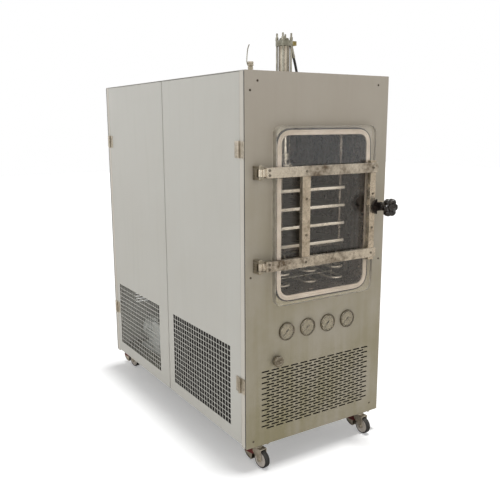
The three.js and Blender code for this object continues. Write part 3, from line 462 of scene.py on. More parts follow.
def make_piece(name, part, finish, body, replaces=()):
    """A mesh piece from cabinet millimetres. Repeated points are merged, faces turned outwards
    and edges sharper than 32 degrees kept sharp. Corner normals follow the larger faces, so a
    flat sheet stays flat up to its eased edge."""
    points, faces = part
    data = bpy.data.meshes.new(name)
    data.from_pydata(metres(points), [], faces)
    tidy = bmesh.new()
    tidy.from_mesh(data)
    bmesh.ops.remove_doubles(tidy, verts=tidy.verts, dist=2e-6)
    bmesh.ops.dissolve_degenerate(tidy, edges=tidy.edges, dist=1e-6)
    bmesh.ops.recalc_face_normals(tidy, faces=tidy.faces)
    tidy.to_mesh(data)
    wrong = [face for face, turn in zip(tidy.faces, inside_out(data)) if turn]
    bmesh.ops.reverse_faces(tidy, faces=wrong)
    tidy.to_mesh(data)
    tidy.free()
    data.shade_smooth()
    data.set_sharp_from_angle(angle=math.radians(32))
    data.materials.append(finish)
    piece = bpy.data.objects.new(name, data)
    bpy.context.collection.objects.link(piece)
    weighed = piece.modifiers.new("weighed_normals", "WEIGHTED_NORMAL")
    weighed.keep_sharp = True
    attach(piece, body)
    if replaces:
        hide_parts(*replaces)
    return piece


def streaks_and_blotches(tree, entry):
    """The marks on worked metal: fine lines drawn out along one direction, broad stains, and
    the two together as a height."""
    where = object_place(tree)
    drawn = node(tree, "VectorMath", {0: where, 1: entry["Direction"]}, operation="MULTIPLY")
    lines = noise(tree, drawn.outputs[0], 1.0, 3.0, 0.6)
    stain = noise(tree, where, 14.0, 5.0, 0.62)
    stain = math_node(tree, "ADD", stain, math_node(tree, "MULTIPLY", lines, 0.18))
    spots = noise(tree, where, 190.0, 3.0)
    return {
        "Streaks": ranged(tree, lines, 0.3, 0.7),
        "Stains": ranged(tree, stain, 0.45, 0.78),
        "Spots": ranged(tree, spots, 0.58, 0.72),
    }


METAL_MARKS = group(
    "metal_marks", {"Direction": (400.0, 400.0, 400.0)}, ["Streaks", "Stains", "Spots"],
    streaks_and_blotches)


def worn_edge(tree, entry):
    """How near a convex edge a point is: one, less the agreement between the surface's normal
    and the normal averaged over the reach, broken up by a noise."""
    soft = node(tree, "Bevel", {"Radius": entry["Reach"]}, samples=3).outputs[0]
    hard = node(tree, "NewGeometry").outputs["Normal"]
    agree = node(tree, "VectorMath", {0: soft, 1: hard}, operation="DOT_PRODUCT").outputs["Value"]
    edge = ranged(tree, agree, 0.995, 0.9)
    chips = ranged(tree, noise(tree, object_place(tree), 130.0, 4.0), 0.38, 0.62)
    return {"Edge": math_node(tree, "MULTIPLY", edge, chips)}


EDGE_WEAR = group("edge_wear", {"Reach": 0.001}, ["Edge"], worn_edge)


def metal_surface(bright, dull, stain, direction, rough=(0.25, 0.5), bump=0.15, edges=0.0012):
    """Worked metal: drawn lines, stains, spots and settled dust over a bright base, and
    brighter where edges are rubbed."""
    def build(tree):
        marks = use(tree, METAL_MARKS, Direction=direction)
        dust = use(tree, DUST, Amount=0.5)["Dust"]
        edge = use(tree, EDGE_WEAR, Reach=edges)["Edge"]
        lines = tint(tree, marks["Streaks"], bright, dull)
        stained = tint(tree, marks["Stains"], lines, stain)
        rubbed = tint(tree, edge, stained, tuple(min(1.0, c * 1.35) for c in bright[:3]) + (1.0,))
        worn = math_node(tree, "ADD", marks["Stains"], math_node(tree, "MULTIPLY", dust, 0.6))
        return {
            "Base Color": tint(tree, dust, rubbed, colour(150, 144, 132)),
            "Roughness": ranged(tree, worn, 0.0, 1.0, *rough),
            "Height": (math_node(tree, "ADD", marks["Streaks"], marks["Spots"]), bump, 0.0002),
        }
    return build


ZINC = material("zinc_plate", metal_surface(
    colour(176, 172, 158), colour(150, 146, 132), colour(118, 112, 96), (60.0, 60.0, 60.0),
    (0.34, 0.6)), Metallic=0.85)
STEEL = material("bright_steel", metal_surface(
    colour(196, 192, 182), colour(172, 167, 156), colour(140, 133, 118), (900.0, 30.0, 900.0),
    (0.22, 0.42)), Metallic=1.0)


def tyre_surface(tree):
    """A rubber tyre: grey where the tread has rolled in dust, black on the walls."""
    where = object_place(tree)
    patch = ranged(tree, noise(tree, where, 90.0, 4.0), 0.38, 0.68)
    dust = use(tree, DUST, Amount=0.4)["Dust"]
    black = tint(tree, patch, colour(22, 21, 19), colour(48, 46, 42))
    return {
        "Base Color": tint(tree, dust, black, colour(140, 134, 124)),
        "Roughness": ranged(tree, patch, 0.0, 1.0, 0.5, 0.8),
        "Height": (noise(tree, where, 700.0, 3.0), 0.3, 0.0005),
    }


def moulded_surface(base, light, rough=(0.3, 0.5), grain=1100.0, bump=0.12):
    """Moulded plastic: a fine grain, faint handling marks and settled dust."""
    def build(tree):
        where = object_place(tree)
        marks = ranged(tree, noise(tree, where, 45.0, 5.0), 0.4, 0.72)
        edge = use(tree, EDGE_WEAR, Reach=0.0008)["Edge"]
        dust = use(tree, DUST, Amount=0.3)["Dust"]
        handled = tint(tree, math_node(tree, "MAXIMUM", marks, edge), base, light)
        return {
            "Base Color": tint(tree, dust, handled, colour(150, 144, 132)),
            "Roughness": ranged(tree, marks, 0.0, 1.0, *rough),
            "Height": (noise(tree, where, grain, 2.0), bump, 0.0002),
        }
    return build


TYRE = material("tyre_rubber", tyre_surface, IOR=1.5)
GREY_CORE = material(
    "grey_core", moulded_surface(colour(184, 176, 166), colour(202, 194, 184)), IOR=1.46)
PEDAL_RED = material(
    "maroon_plastic", moulded_surface(colour(84, 20, 18), colour(110, 46, 40)), IOR=1.46)
FORK_ZINC = material("fork_zinc", metal_surface(
    colour(224, 215, 200), colour(196, 187, 170), colour(148, 138, 118), (50.0, 50.0, 50.0),
    (0.3, 0.5)), Metallic=0.7)

CASTER_HEIGHT = 100
WHEEL_RADIUS, WHEEL_WIDTH, TRAIL = 36, 24, 28
AXLE_Z = WHEEL_RADIUS - CASTER_HEIGHT
CASTERS = {
    "front_left": (76, 34, -82), "front_right": (624, 34, -86),
    "rear_left": (76, 1356, -80), "rear_right": (624, 1356, -45),
}


def caster_fork():
    """Crown, two pressed legs with turned-out feet, and the axle with a nut on each side."""
    inner = WHEEL_WIDTH / 2 + 2
    outline = eased([[-12, -19], [-12, -40], [-6, -44], [TRAIL - 12, AXLE_Z + 2],
                     [TRAIL - 9, AXLE_Z - 9], [TRAIL + 9, AXLE_Z - 9], [TRAIL + 12, AXLE_Z + 2],
                     [TRAIL + 8, -34], [TRAIL + 9, -19]], [3, 6, 6, 8, 9, 9, 10, 10, 3], 4, True)
    crown = eased([[-inner - 3, -18.2], [-inner - 3, -22], [inner + 3, -22], [inner + 3, -18.2]],
                  1.8, 4, True)
    parts = [slab(outline, -inner - 3, -inner, 0.7), slab(outline, inner, inner + 3, 0.7),
             slab(crown, -12, TRAIL + 9, 0.6, "yz"),
             turned(eased([[0, -12.3], [20, -12.3], [21, -13.5], [21, -17], [17, -19.6],
                           [0, -19.6]], 1.5), (0, 0), "z"),
             turned([[0, -inner - 5], [4, -inner - 5], [4, inner + 5], [0, inner + 5]],
                    (TRAIL, AXLE_Z), "y", 16)]
    for side in (-1, 1):
        face = side * (inner + 3)
        parts.append(turned(eased([[0, face], [8.5, face], [8.5, face + side * 0.8],
                                   [0, face + side * 0.8]], 0.3),
                            (TRAIL, AXLE_Z), "y", 24))
        parts.append(hexagon_nut((TRAIL, AXLE_Z), 12, face + side * 0.8, face + side * 5.4, "y"))
    return joined(*parts)


def caster_tyre():
    """The tyre: a tread with two shallow grooves, and walls that step in to the core."""
    half, tread = WHEEL_WIDTH / 2, WHEEL_RADIUS
    profile = eased([
        [30, -half + 2.5], [31.4, -half], [tread - 3, -half], [tread, -half + 3], [tread, -5],
        [tread - 1.2, -4.4], [tread - 1.2, -3.6], [tread, -3], [tread, 3], [tread - 1.2, 3.6],
        [tread - 1.2, 4.4], [tread, 5], [tread, half - 3], [tread - 3, half], [31.4, half],
        [30, half - 2.5]], 0.8, 2, True)
    return turned(profile, (TRAIL, AXLE_Z), "y", 64)


def caster_core():
    """The core's web, rim and hub, with six ribs between hub and rim on each face."""
    half = WHEEL_WIDTH / 2
    rim = eased([[4.4, -half], [9, -half], [10, -half + 2.4], [26, -half + 2.4], [28, -half + 0.6],
                 [30.2, -half + 0.6], [30.2, half - 0.6], [28, half - 0.6], [26, half - 2.4],
                 [10, half - 2.4], [9, half], [4.4, half]], 0.8, 2, True)
    ribs = []
    for count in range(6):
        for side in (-1, 1):
            face = side * (half - 2.2)
            rib = slab(rectangle(9, 27, -1.2, 1.2, 0.5), face - 1.2, face + 1.2, 0.4)
            ribs.append(moved(spun(rib, 60 * count, (0, 0), "y"), (TRAIL, 0, AXLE_Z)))
    return joined(turned(rim, (TRAIL, AXLE_Z), "y", 48), *ribs)


def brake_arm():
    """The lever's pin between the fork's legs, and under the pad a pressed cup that is open
    towards the wheel: a curved sheet with a wall on each side."""
    pin = turned([[0, -13.6], [4.4, -13.6], [4.4, 13.6], [0, 13.6]], (-6, -33), "y", 16)
    back = eased([[-70.6, -56.5], [-67.8, -65], [-58, -75.8], [-42, -83.8], [-27, -85.8],
                  [-26.6, -83.4], [-41, -81.4], [-56, -73.6], [-65.4, -64], [-68, -56.5]],
                 [0.8, 6, 9, 9, 0.8, 0.8, 8, 8, 5, 0.8], 4, True)
    wall = eased([[-22.4, -58.6], [-27, -85.4], [-42, -83.4], [-57.8, -75.6], [-67.4, -65],
                  [-70, -57]], [1, 1, 9, 9, 6, 1], 4, True)
    return joined(pin, slab(back, -11.9, 11.9, 0.7), slab(wall, -11.9, -9.6, 0.6),
                  slab(wall, 9.6, 11.9, 0.6))


def pedal_pad():
    """A thick plastic tread moulded round the lever, with three cross ribs on its end."""
    outline = eased([[-8.2, -44], [-12, -53.6], [-20, -58.8], [-64, -61.6], [-71.8, -57],
                     [-71.8, -49], [-66, -43.2], [-46, -37.2], [-20, -33.2], [-6, -29.2],
                     [-2.4, -37]], [3, 4, 4, 5, 4, 4, 6, 8, 8, 3, 2], 4, True)
    ribs = [slab(rectangle(-72.2, -70, z, z + 1.6, 0.5), -10.5, 10.5, 0.4)
            for z in (-56.8, -53.8, -50.8)]
    return joined(slab(outline, -12, 12, 1.8, steps=3), *ribs)


for place, (x, y, heading) in CASTERS.items():
    def set_down(part):
        """The part turned to its caster's heading and put in the caster's place."""
        return moved(spun(part, heading), (x, y, 0))
    make_piece(f"fork_{place}", set_down(caster_fork()), FORK_ZINC,
               f"caster_fork_{place}", [f"caster_fork_{place}"])
    make_piece(f"tyre_{place}", set_down(caster_tyre()), TYRE,
               f"caster_wheel_{place}", [f"caster_wheel_{place}"])
    make_piece(f"core_{place}", set_down(caster_core()), GREY_CORE,
               f"caster_wheel_{place}")
    make_piece(f"brake_arm_{place}", set_down(brake_arm()), FORK_ZINC,
               f"brake_pedal_{place}")
    make_piece(f"brake_pad_{place}", set_down(pedal_pad()), PEDAL_RED,
               f"brake_pedal_{place}", [f"brake_pedal_{place}"])

# ---------------------------------------------------------------- cabinet frame
# Corner posts folded from 4 mm sheet and rails of 30 mm square tube, welded up and powder
# coated warm grey. The caster plates and the posts' hinge halves are zinc plated and bolted on.

WIDTH, HEIGHT = 700, 1460
FRAME_TOP = 1457.7
FRAME_ENDS = ((2.3, 35), (1355, 1387.7))


def both_sides(part):
    """The part, and its mirror image across the cabinet's middle, with its faces turned over."""
    points, faces = part
    other = points.copy()
    other[:, 0] = WIDTH - points[:, 0]
    return joined(part, (other, [face[::-1] for face in faces]))


def powder_grain(tree, entry):
    """Powder coat: the fine dimples of its orange peel as a height, wide faint clouding where
    it has been wiped, and thin smears drawn down the sheet."""
    where = object_place(tree)
    peel = noise(tree, where, entry["Grain"], 2.0)
    cloud = noise(tree, where, 3.1, 5.0, 0.6)
    drawn = node(tree, "VectorMath", {0: where, 1: (26.0, 26.0, 2.2)}, operation="MULTIPLY")
    smear = noise(tree, drawn.outputs[0], 1.0, 4.0)
    wiped = math_node(tree, "ADD", cloud, math_node(tree, "MULTIPLY", smear, 0.5))
    return {
        "Height": peel,
        "Cloud": ranged(tree, wiped, 0.62, 0.9),
        "Smear": ranged(tree, smear, 0.5, 0.75),
    }


POWDER = group("powder_coat", {"Grain": 700.0}, ["Height", "Cloud", "Smear"], powder_grain)


def painted_surface(base, pale, grime, amount=0.3, foot=None):
    """Powder coat that is paler where wiped, stained by grime in thin smears, and chipped a little
    along its edges. A foot colour, where given, takes over from the base towards the floor: painted
    shade, the darker and yellower lower part standing in for the lesser light low down."""
    def build(tree):
        coat = use(tree, POWDER, Grain=700.0)
        dust = use(tree, DUST, Amount=0.5)["Dust"]
        edge = use(tree, EDGE_WEAR, Reach=0.0009)["Edge"]
        foot_shaded = base
        # Painted shade: from 1.55 m down to 0.15 m the colour darkens to the foot colour.
        if foot:
            height = node(tree, "SeparateXYZ", {0: object_place(tree)}).outputs["Z"]
            foot_shaded = tint(tree, ranged(tree, height, 1.55, 0.15), base, foot)
        wiped = tint(tree, math_node(tree, "MULTIPLY", coat["Cloud"], 0.6), foot_shaded, pale)
        smear = math_node(tree, "MULTIPLY", coat["Smear"], amount)
        smeared = tint(tree, smear, wiped, grime)
        edged = tint(tree, math_node(tree, "MULTIPLY", edge, 0.5), smeared, pale)
        return {
            "Base Color": tint(tree, dust, edged, colour(172, 166, 152)),
            "Roughness": ranged(tree, coat["Cloud"], 0.0, 1.0, 0.42, 0.56),
            "Height": (coat["Height"], 0.12, 0.0003),
        }
    return build


FRAME_PAINT = material("frame_paint", painted_surface(
    colour(200, 194, 183), colour(208, 204, 195), colour(166, 158, 140)), IOR=1.5)


def angle_post(y0, y1, toward):
    """A corner post: an L of 4 mm sheet with one leg on the side and one behind the end panel."""
    face, far = (y0, y1) if toward > 0 else (y1, y0)
    outline = eased([[0, far], [0, face + 6 * toward], [2, face + 6 * toward], [2, face],
                     [35, face],
                     [35, face + 4 * toward], [4, face + 4 * toward], [4, far]],
                    [0.6, 1, 0.4, 0.4, 0.6, 0.6, 1.5, 0.6], 4, True)
    return slab(outline, 0, FRAME_TOP, 0.5, "xy")


def square_tube(x, y, z, along):
    """A rail of square tube with rounded edges, lying along an axis."""
    spans = {"x": (y, z, x, "yz"), "y": (x, z, y, "xz"), "z": (x, y, z, "xy")}
    u, v, run, plane = spans[along]
    return slab(rectangle(*u, *v, 4, 4), *run, 0.4, plane)


frame_parts = []
for (y0, y1), toward in zip(FRAME_ENDS, (1, -1)):
    frame_parts.append(both_sides(angle_post(y0, y1, toward)))
    for z in ((0, 30), (FRAME_TOP - 30, FRAME_TOP)):
        inner = (6.4, 35) if toward > 0 else (1355, 1383.6)
        frame_parts.append(square_tube((36, 664), inner, z, "x"))
for z in ((0, 30), (FRAME_TOP - 30, FRAME_TOP)):
    frame_parts.append(both_sides(square_tube((18, 48), (35.5, 1354.5), z, "y")))
frame_parts.append(both_sides(square_tube((18, 48), (677.5, 707.5), (30, FRAME_TOP - 30), "z")))
frame_parts.append(both_sides(square_tube((18, 48), (35.5, 677), (575.7, 605.7), "y")))
for y in (60, 520):
    frame_parts.append(square_tube((48.5, 651.5), (y, y + 30), (575.7, 605.7), "x"))
# Black rubber strips fill the narrow recess where the end panels meet the posts; they are also
# painted shadow, the dark line of that gap.
seals = [both_sides(block((0.5, 2), (y0, y1), (1, FRAME_TOP - 1), 0.3, 0.4))
         for y0, y1 in ((2.4, 8), (1382, 1387.6))]
make_piece("panel_edge_seals", joined(*seals), RUBBER, "cabinet")
make_piece("frame_bars", joined(*frame_parts), FRAME_PAINT, "cabinet",
           ["cabinet_frame"])

HINGE_HEIGHTS = (262, 1179)
HINGE_PIN_X, KNUCKLE = -7, 4.6
SIDES = {"left_front": (36, 1), "left_rear": (1354, -1), "right_front": (36, 1),
         "right_rear": (1354, -1)}


def on_side(part, name):
    """A part made for the left side, mirrored across the cabinet if the place is on the right."""
    if name.startswith("left"):
        return part
    points, faces = part
    other = points.copy()
    other[:, 0] = WIDTH - points[:, 0]
    return other, [face[::-1] for face in faces]


def hinge_half(pin_y, direction, z, knuckles):
    """A leaf with rounded corners and three countersunk screws, and its rolled knuckles."""
    near, far = pin_y + direction * 3, pin_y + direction * 32
    leaf = slab(rectangle(min(near, far), max(near, far), z - 31, z + 31, 4), -3, -0.02, 0.5, "yz")
    parts = [leaf]
    for z0, z1 in knuckles:
        parts.append(turned(eased([[2.6, z + z0], [KNUCKLE, z + z0], [KNUCKLE, z + z1],
                                   [2.6, z + z1]], 0.5),
                            (HINGE_PIN_X, pin_y), "z", 24))
        parts.append(slab(rectangle(min(near, pin_y), max(near, pin_y), z + z0, z + z1), -4.2,
                          -1.2, 0.3, "yz"))
    for dz in (-22, 0, 22):
        dy = pin_y + direction * (19 if dz else 24)
        parts.append(turned(eased([[0, -2.9], [4.2, -2.9], [4.2, -3.9], [3, -4.3], [1.4, -4.3],
                                   [0.9, -3.4], [0, -3.4]], 0.4),
                            (dy, z + dz), "x", 16))
    return joined(*parts)


fixed = []
for name, (pin_y, toward) in SIDES.items():
    for z in HINGE_HEIGHTS:
        pin = turned(eased([[0, z - 31], [2.5, z - 31], [2.5, z + 31], [0, z + 31]], 0.6),
                     (HINGE_PIN_X, pin_y), "z", 16)
        half = hinge_half(pin_y, -toward, z, [(-31, -10.6), (10.6, 31)])
        fixed.append(on_side(joined(half, pin), name))
make_piece("post_hinge_halves", joined(*fixed), FORK_ZINC, "cabinet")

plates = []
for x, y, _ in CASTERS.values():
    plates.append(moved(slab(rectangle(-42, 42, -30, 30, 6), -4, -0.1, 0.6, "xy"), (x, y, 0)))
    plates.append(turned(eased([[0, -3.5], [21, -4], [21.5, -6], [19, -11], [15, -12.2],
                                [0, -12.2]], 1.5), (x, y), "z"))
    for dx in (-33, 33):
        for dy in (-23, 23):
            plates.append(hexagon_nut((x + dx, y + dy), 10, -8.4, -4.0, "z"))
make_piece("caster_plates", joined(*plates), ZINC, "cabinet")

# ---------------------------------------------------------------- floor pan
# A 2 mm zinc-plated tray lies on the bottom rails and carries the machinery.

PAN_TOP = 32.6
pan = slab(eased([[18, 8.3], [682, 8.3], [682, 676], [651, 676], [651, 709], [682, 709],
                  [682, 1381.7],
                  [18, 1381.7], [18, 709], [49, 709], [49, 676], [18, 676]], 3, 3, True),
           30.3, 32.3, 0.4, "xy")
make_piece("machine_tray", pan, ZINC, "cabinet", ["floor_pan"])

# ---------------------------------------------------------------- condenser and its fan
# Copper tubes through pressed aluminium fins, held by two galvanised end plates. A five-blade
# fan behind it hangs on its motor's shaft, and the motor on a bracket from the end plates.

CONDENSER = {"x": (90, 610), "y": (26, 66), "z": (52.6, 330)}
FAN_X, FAN_Z, FAN_REACH = 350, 190, 111
FAN_BACK, FAN_FRONT = 112, 84
FIN_GAP = 4.0
TUBE_ROWS = 10


def repeated(part, places):
    """Copies of a part at each of an array of places."""
    points, faces = part
    places = np.asarray(places, dtype=float)
    every = (points[None] + places[:, None]).reshape(-1, 3)
    step = len(points)
    return every, [[n + step * k for n in face] for k in range(len(places)) for face in faces]


def plain_block(x, y, z):
    """Eight corners and six faces."""
    corner = np.array([[a, b, c] for a in x for b in y for c in z], dtype=float)
    return corner, [[0, 1, 3, 2], [4, 6, 7, 5], [0, 4, 5, 1], [2, 3, 7, 6], [0, 2, 6, 4],
                    [1, 5, 7, 3]]


fin_x = np.arange(CONDENSER["x"][0] + 3, CONDENSER["x"][1] - 3, FIN_GAP)
fin = plain_block((0, 0.35), CONDENSER["y"], CONDENSER["z"])
make_piece("condenser_fins", repeated(fin, np.column_stack([fin_x, fin_x * 0, fin_x * 0])),
           material("fin_aluminium", metal_surface(
               colour(178, 178, 172), colour(150, 150, 144), colour(112, 108, 98),
               (300.0, 300.0, 40.0),
               (0.3, 0.55)), Metallic=0.9),
           "cabinet", ["condenser"])

COPPER = material("copper_tube", metal_surface(
    colour(184, 116, 78), colour(150, 88, 58), colour(96, 66, 48), (120.0, 120.0, 120.0),
    (0.28, 0.5)), Metallic=1.0)
row_z = np.linspace(CONDENSER["z"][0] + 16, CONDENSER["z"][1] - 16, TUBE_ROWS)
copper = []
for y in (36, 56):
    for z in row_z:
        copper.append(turned([[0, 84.5], [4.8, 84.5], [4.8, 615.5], [0, 615.5]], (y, z), "x", 12))
for z0, z1 in zip(row_z[:-1], row_z[1:]):
    for y, x, sign in ((36, 615, 1), (56, 85, -1)):
        bend = [[x, y, z0], [x + sign * 7, y, z0 + 3], [x + sign * 10, y, (z0 + z1) / 2],
                [x + sign * 7, y, z1 - 3], [x, y, z1]]
        copper.append(tube(spline_through(bend, 4), 4.8, (0, 1, 0), 10))
make_piece("condenser_tubes", joined(*copper), COPPER, "cabinet")

holders = [slab(rectangle(20, 72, 32.6, 336, 3), x, x + 3, 0.4, "yz") for x in (86, 611)]
holders.append(block((220, 480), (126, 132), (178, 202), 0.5, 2))
for x in (220, 474):
    holders.append(block((x, x + 6), (66, 132), (178, 202), 0.5, 1))
holders.append(turned(eased([[0, 120], [30, 120], [34, 124], [34, 178], [30, 182], [0, 182]], 2),
                      (FAN_X, FAN_Z), "y"))
holders.append(turned([[0, 90], [5, 90], [5, 121], [0, 121]], (FAN_X, FAN_Z), "y", 16))
make_piece("fan_motor_and_brackets", joined(*holders), ZINC, "cabinet")


def fan_blade():
    """A pressed blade: its pitch eases from 34 degrees at the hub to 20 at the tip, its chord
    widens outwards, and its section is a shallow arc."""
    span = np.linspace(0, 1, 9)[:, None]
    across = np.linspace(-1, 1, 9)[None]
    radius = 26 + (FAN_REACH - 26) * span
    chord = 17 + 13 * np.sin(span * math.pi * 0.75)
    pitch = np.radians(34 - 14 * span)
    sweep = 8 * span ** 2
    u = across * chord + sweep
    lift = 3.0 * (1 - across ** 2)
    x = radius - 0.004 * u ** 2
    z = u * np.cos(pitch) - lift * np.sin(pitch)
    y = u * np.sin(pitch) * 0.72 + lift * np.cos(pitch)
    top = np.stack([x, y, z], -1)
    under = top.copy()
    under[..., 1] -= 1.2
    loops = np.concatenate([top, under[:, ::-1]], axis=1)
    return skin(loops)


hub = turned(eased([[5.4, -8], [28, -8], [32, -4], [32, 14], [5.4, 14]], 1.5), (0, 0), "y")
front_cap = turned(eased([[0, -10], [14, -10], [20, -8.2], [0, -8.2]], 1), (0, 0), "y")
fan = joined(hub, front_cap, *[spun(fan_blade(), 72 * n, (0, 0), "y") for n in range(5)])
DARK_PAINT = material("dark_enamel", painted_surface(
    colour(38, 41, 44), colour(58, 60, 62), colour(84, 80, 72)), IOR=1.5)
make_piece("fan_wheel", moved(fan, (FAN_X, (FAN_BACK + FAN_FRONT) / 2, FAN_Z)), DARK_PAINT,
           "fan_rotor", ["fan_rotor"])

# ---------------------------------------------------------------- compressor
# A hermetic refrigeration compressor: two drawn steel shells welded at a rolled seam, painted
# black, on a pressed foot with rubber mounts. Copper suction and discharge stubs are brazed in.

COMPRESSOR = (350, 400)
low = PAN_TOP + 20
shell = turned(spline_through([
    [0, low], [58, low + 1], [92, low + 18], [103, low + 42], [104, low + 120], [104, low + 134],
    [98, low + 150], [98, low + 198], [88, low + 228], [52, low + 252], [0, low + 258]], 4),
    COMPRESSOR, "z", 64)
seam = turned(eased([[97, low + 132], [105, low + 134], [105, low + 140], [97, low + 142]], 1.5,
                    closed=True),
              COMPRESSOR, "z", 64)
box_cover = block((COMPRESSOR[0] - 26, COMPRESSOR[0] + 26),
                  (COMPRESSOR[1] + 84, COMPRESSOR[1] + 103),
                  (low + 60, low + 120), 3, 5)
foot = slab(rectangle(260, 440, 310, 490, 18), PAN_TOP + 14, PAN_TOP + 20, 0.8, "xy")
make_piece("compressor_shell", joined(shell, seam, box_cover, foot), DARK_PAINT, "cabinet",
           ["compressor"])
mounts = [turned(eased([[0, PAN_TOP], [12, PAN_TOP], [12, PAN_TOP + 5], [9, PAN_TOP + 7],
                        [12, PAN_TOP + 9],
                        [12, PAN_TOP + 14], [0, PAN_TOP + 14]], 1.5), (350 + dx, 400 + dy), "z", 24)
          for dx in (-80, 80) for dy in (-80, 80)]
make_piece("compressor_mounts", joined(*mounts), RUBBER, "cabinet")


def copper_line(points, radius=5):
    """A copper pipe of the given radius along a smooth curve through its points."""
    return tube(spline_through(points, 6), radius, (0.3, 0.2, 0.9), 12)


lines = joined(
    copper_line([[440, 400, 250], [462, 398, 262], [490, 380, 285], [520, 300, 290],
                 [560, 180, 285],
                 [600, 110, 300], [618, 76, 312], [622, 62, 312]]),
    copper_line([[262, 400, 240], [240, 398, 258], [222, 410, 290], [214, 440, 330],
                 [196, 540, 380],
                 [182, 600, 440], [178, 618, 560], [190, 622, 628], [196, 622, 628]], 7),
)
make_piece("refrigerant_lines", lines, COPPER, "cabinet")

# ---------------------------------------------------------------- vacuum pump and its line
# A two-stage rotary pump: a cast oil box with a sight glass, a finned motor with a pressed fan
# cowl, and one base plate. A stainless line with clamped flanges comes down from the chamber.

PUMP_X, PUMP_FRONT, PUMP_BACK = 190, 960, 1310
INLET_Y, INLET_TOP = 1060, 300
MOTOR_Z = PAN_TOP + 100


def cast_surface(base, pale, grime):
    """Painted casting: a coarse sand texture under the paint, and oil and dust in its hollows."""
    def build(tree):
        where = object_place(tree)
        sand = noise(tree, where, 260.0, 4.0, 0.6)
        oil = ranged(tree, noise(tree, where, 17.0, 4.0), 0.52, 0.72)
        dust = use(tree, DUST, Amount=0.7)["Dust"]
        edge = use(tree, EDGE_WEAR, Reach=0.0015)["Edge"]
        oiled = tint(tree, math_node(tree, "MULTIPLY", oil, 0.6), base, grime)
        return {
            "Base Color": tint(tree, dust, tint(tree, edge, oiled, pale), colour(140, 133, 118)),
            "Roughness": ranged(tree, oil, 0.0, 1.0, 0.55, 0.32),
            "Height": (sand, 0.35, 0.0008),
        }
    return build


PUMP_PAINT = material("pump_enamel", cast_surface(
    colour(200, 203, 199), colour(220, 221, 216), colour(128, 116, 90)), IOR=1.5)

bx = (PUMP_X - 80, PUMP_X + 80)
pump_parts = [
    block((PUMP_X - 75, PUMP_X + 75), (PUMP_FRONT, PUMP_BACK), (PAN_TOP, PAN_TOP + 14), 2, 8),
    block(bx, (970, 1128), (PAN_TOP + 14, PAN_TOP + 186), 7, 14),
    block((PUMP_X - 76, PUMP_X + 76), (1128, 1140), (PAN_TOP + 22, PAN_TOP + 178), 3, 8),
    block((PUMP_X - 50, PUMP_X + 50), (1160, 1270), (PAN_TOP + 14, PAN_TOP + 60), 2, 4),
    turned(eased([[0, 1140], [60, 1140], [66, 1146], [66, 1250], [0, 1250]], 3), (PUMP_X, MOTOR_Z),
           "y", 48),
    turned(eased([[0, 1246], [71, 1246], [71, 1286], [64, 1299], [40, 1300], [0, 1298]], 5),
           (PUMP_X, MOTOR_Z), "y", 48),
    block((PUMP_X - 32, PUMP_X + 32), (1165, 1225), (MOTOR_Z + 60, MOTOR_Z + 72), 2, 4),
    turned(eased([[0, PAN_TOP + 186], [21, PAN_TOP + 186], [21, 262], [17, 268], [17, 290],
                  [22, 291], [22, 299.8], [0, 299.8]], 1.5),
           (PUMP_X, INLET_Y), "z", 40),
]
cooling_rib = slab(rectangle(64, 71.6, -1.1, 1.1, 0.5), 1146, 1246, 0.4)
for count in range(28):
    placed = spun(cooling_rib, 360 / 28 * count, (0, 0), "y")
    pump_parts.append(moved(placed, (PUMP_X, 0, MOTOR_Z)))
for x in (PUMP_X - 66, PUMP_X + 66):
    for z in (PAN_TOP + 34, PAN_TOP + 100, PAN_TOP + 166):
        pump_parts.append(cap_screw((x, z), 5, 970.5, 967, "y"))
make_piece("pump_casting", joined(*pump_parts), PUMP_PAINT, "cabinet",
           ["vacuum_pump"])

vents = []
for ring, count in ((16, 8), (32, 14), (48, 20)):
    for angle in np.linspace(0, 2 * math.pi, count, endpoint=False):
        vents.append([ring * math.cos(angle), 0, ring * math.sin(angle)])
vent_disc = turned(eased([[0, 1298.2], [2.6, 1298.2], [2.6, 1300.4], [0, 1300.4]], 0.4),
                   (PUMP_X, MOTOR_Z), "y", 8)
make_piece("pump_cowl_vents", repeated(vent_disc, vents), RUBBER, "cabinet")
glass_ring = turned(eased([[10, 970.5], [15, 970.5], [15, 965.5], [10, 965.5]], 0.8, closed=True),
                    (PUMP_X + 46, PAN_TOP + 60), "y", 32)
oil_plugs = [hexagon_nut((PUMP_X - 40, PAN_TOP + 30), 19, 966, 970.5, "y"),
             hexagon_nut((PUMP_X + 50, 1004), 24, PAN_TOP + 186, PAN_TOP + 196, "z")]
make_piece("pump_trim", joined(glass_ring, *oil_plugs), material("oil_brass", metal_surface(
    colour(186, 158, 100), colour(160, 132, 80), colour(104, 88, 58), (80.0, 80.0, 80.0),
    (0.3, 0.55)), Metallic=1.0), "cabinet")


def amber_oil(tree):
    """Oil behind a sight glass, clear above and darker towards the sediment."""
    where = object_place(tree)
    murk = ranged(tree, noise(tree, where, 60.0, 3.0), 0.3, 0.7)
    return {"Base Color": tint(tree, murk, colour(150, 96, 30), colour(96, 58, 22)),
            "Roughness": ranged(tree, murk, 0.0, 1.0, 0.06, 0.14)}


make_piece("pump_sight_glass", turned(eased([[0, 968.6], [10.2, 968.6], [10.2, 967], [0, 966.4]],
                                            0.5),
           (PUMP_X + 46, PAN_TOP + 60), "y", 32), material("sight_oil", amber_oil, Coat_Weight=0.6),
           "cabinet")

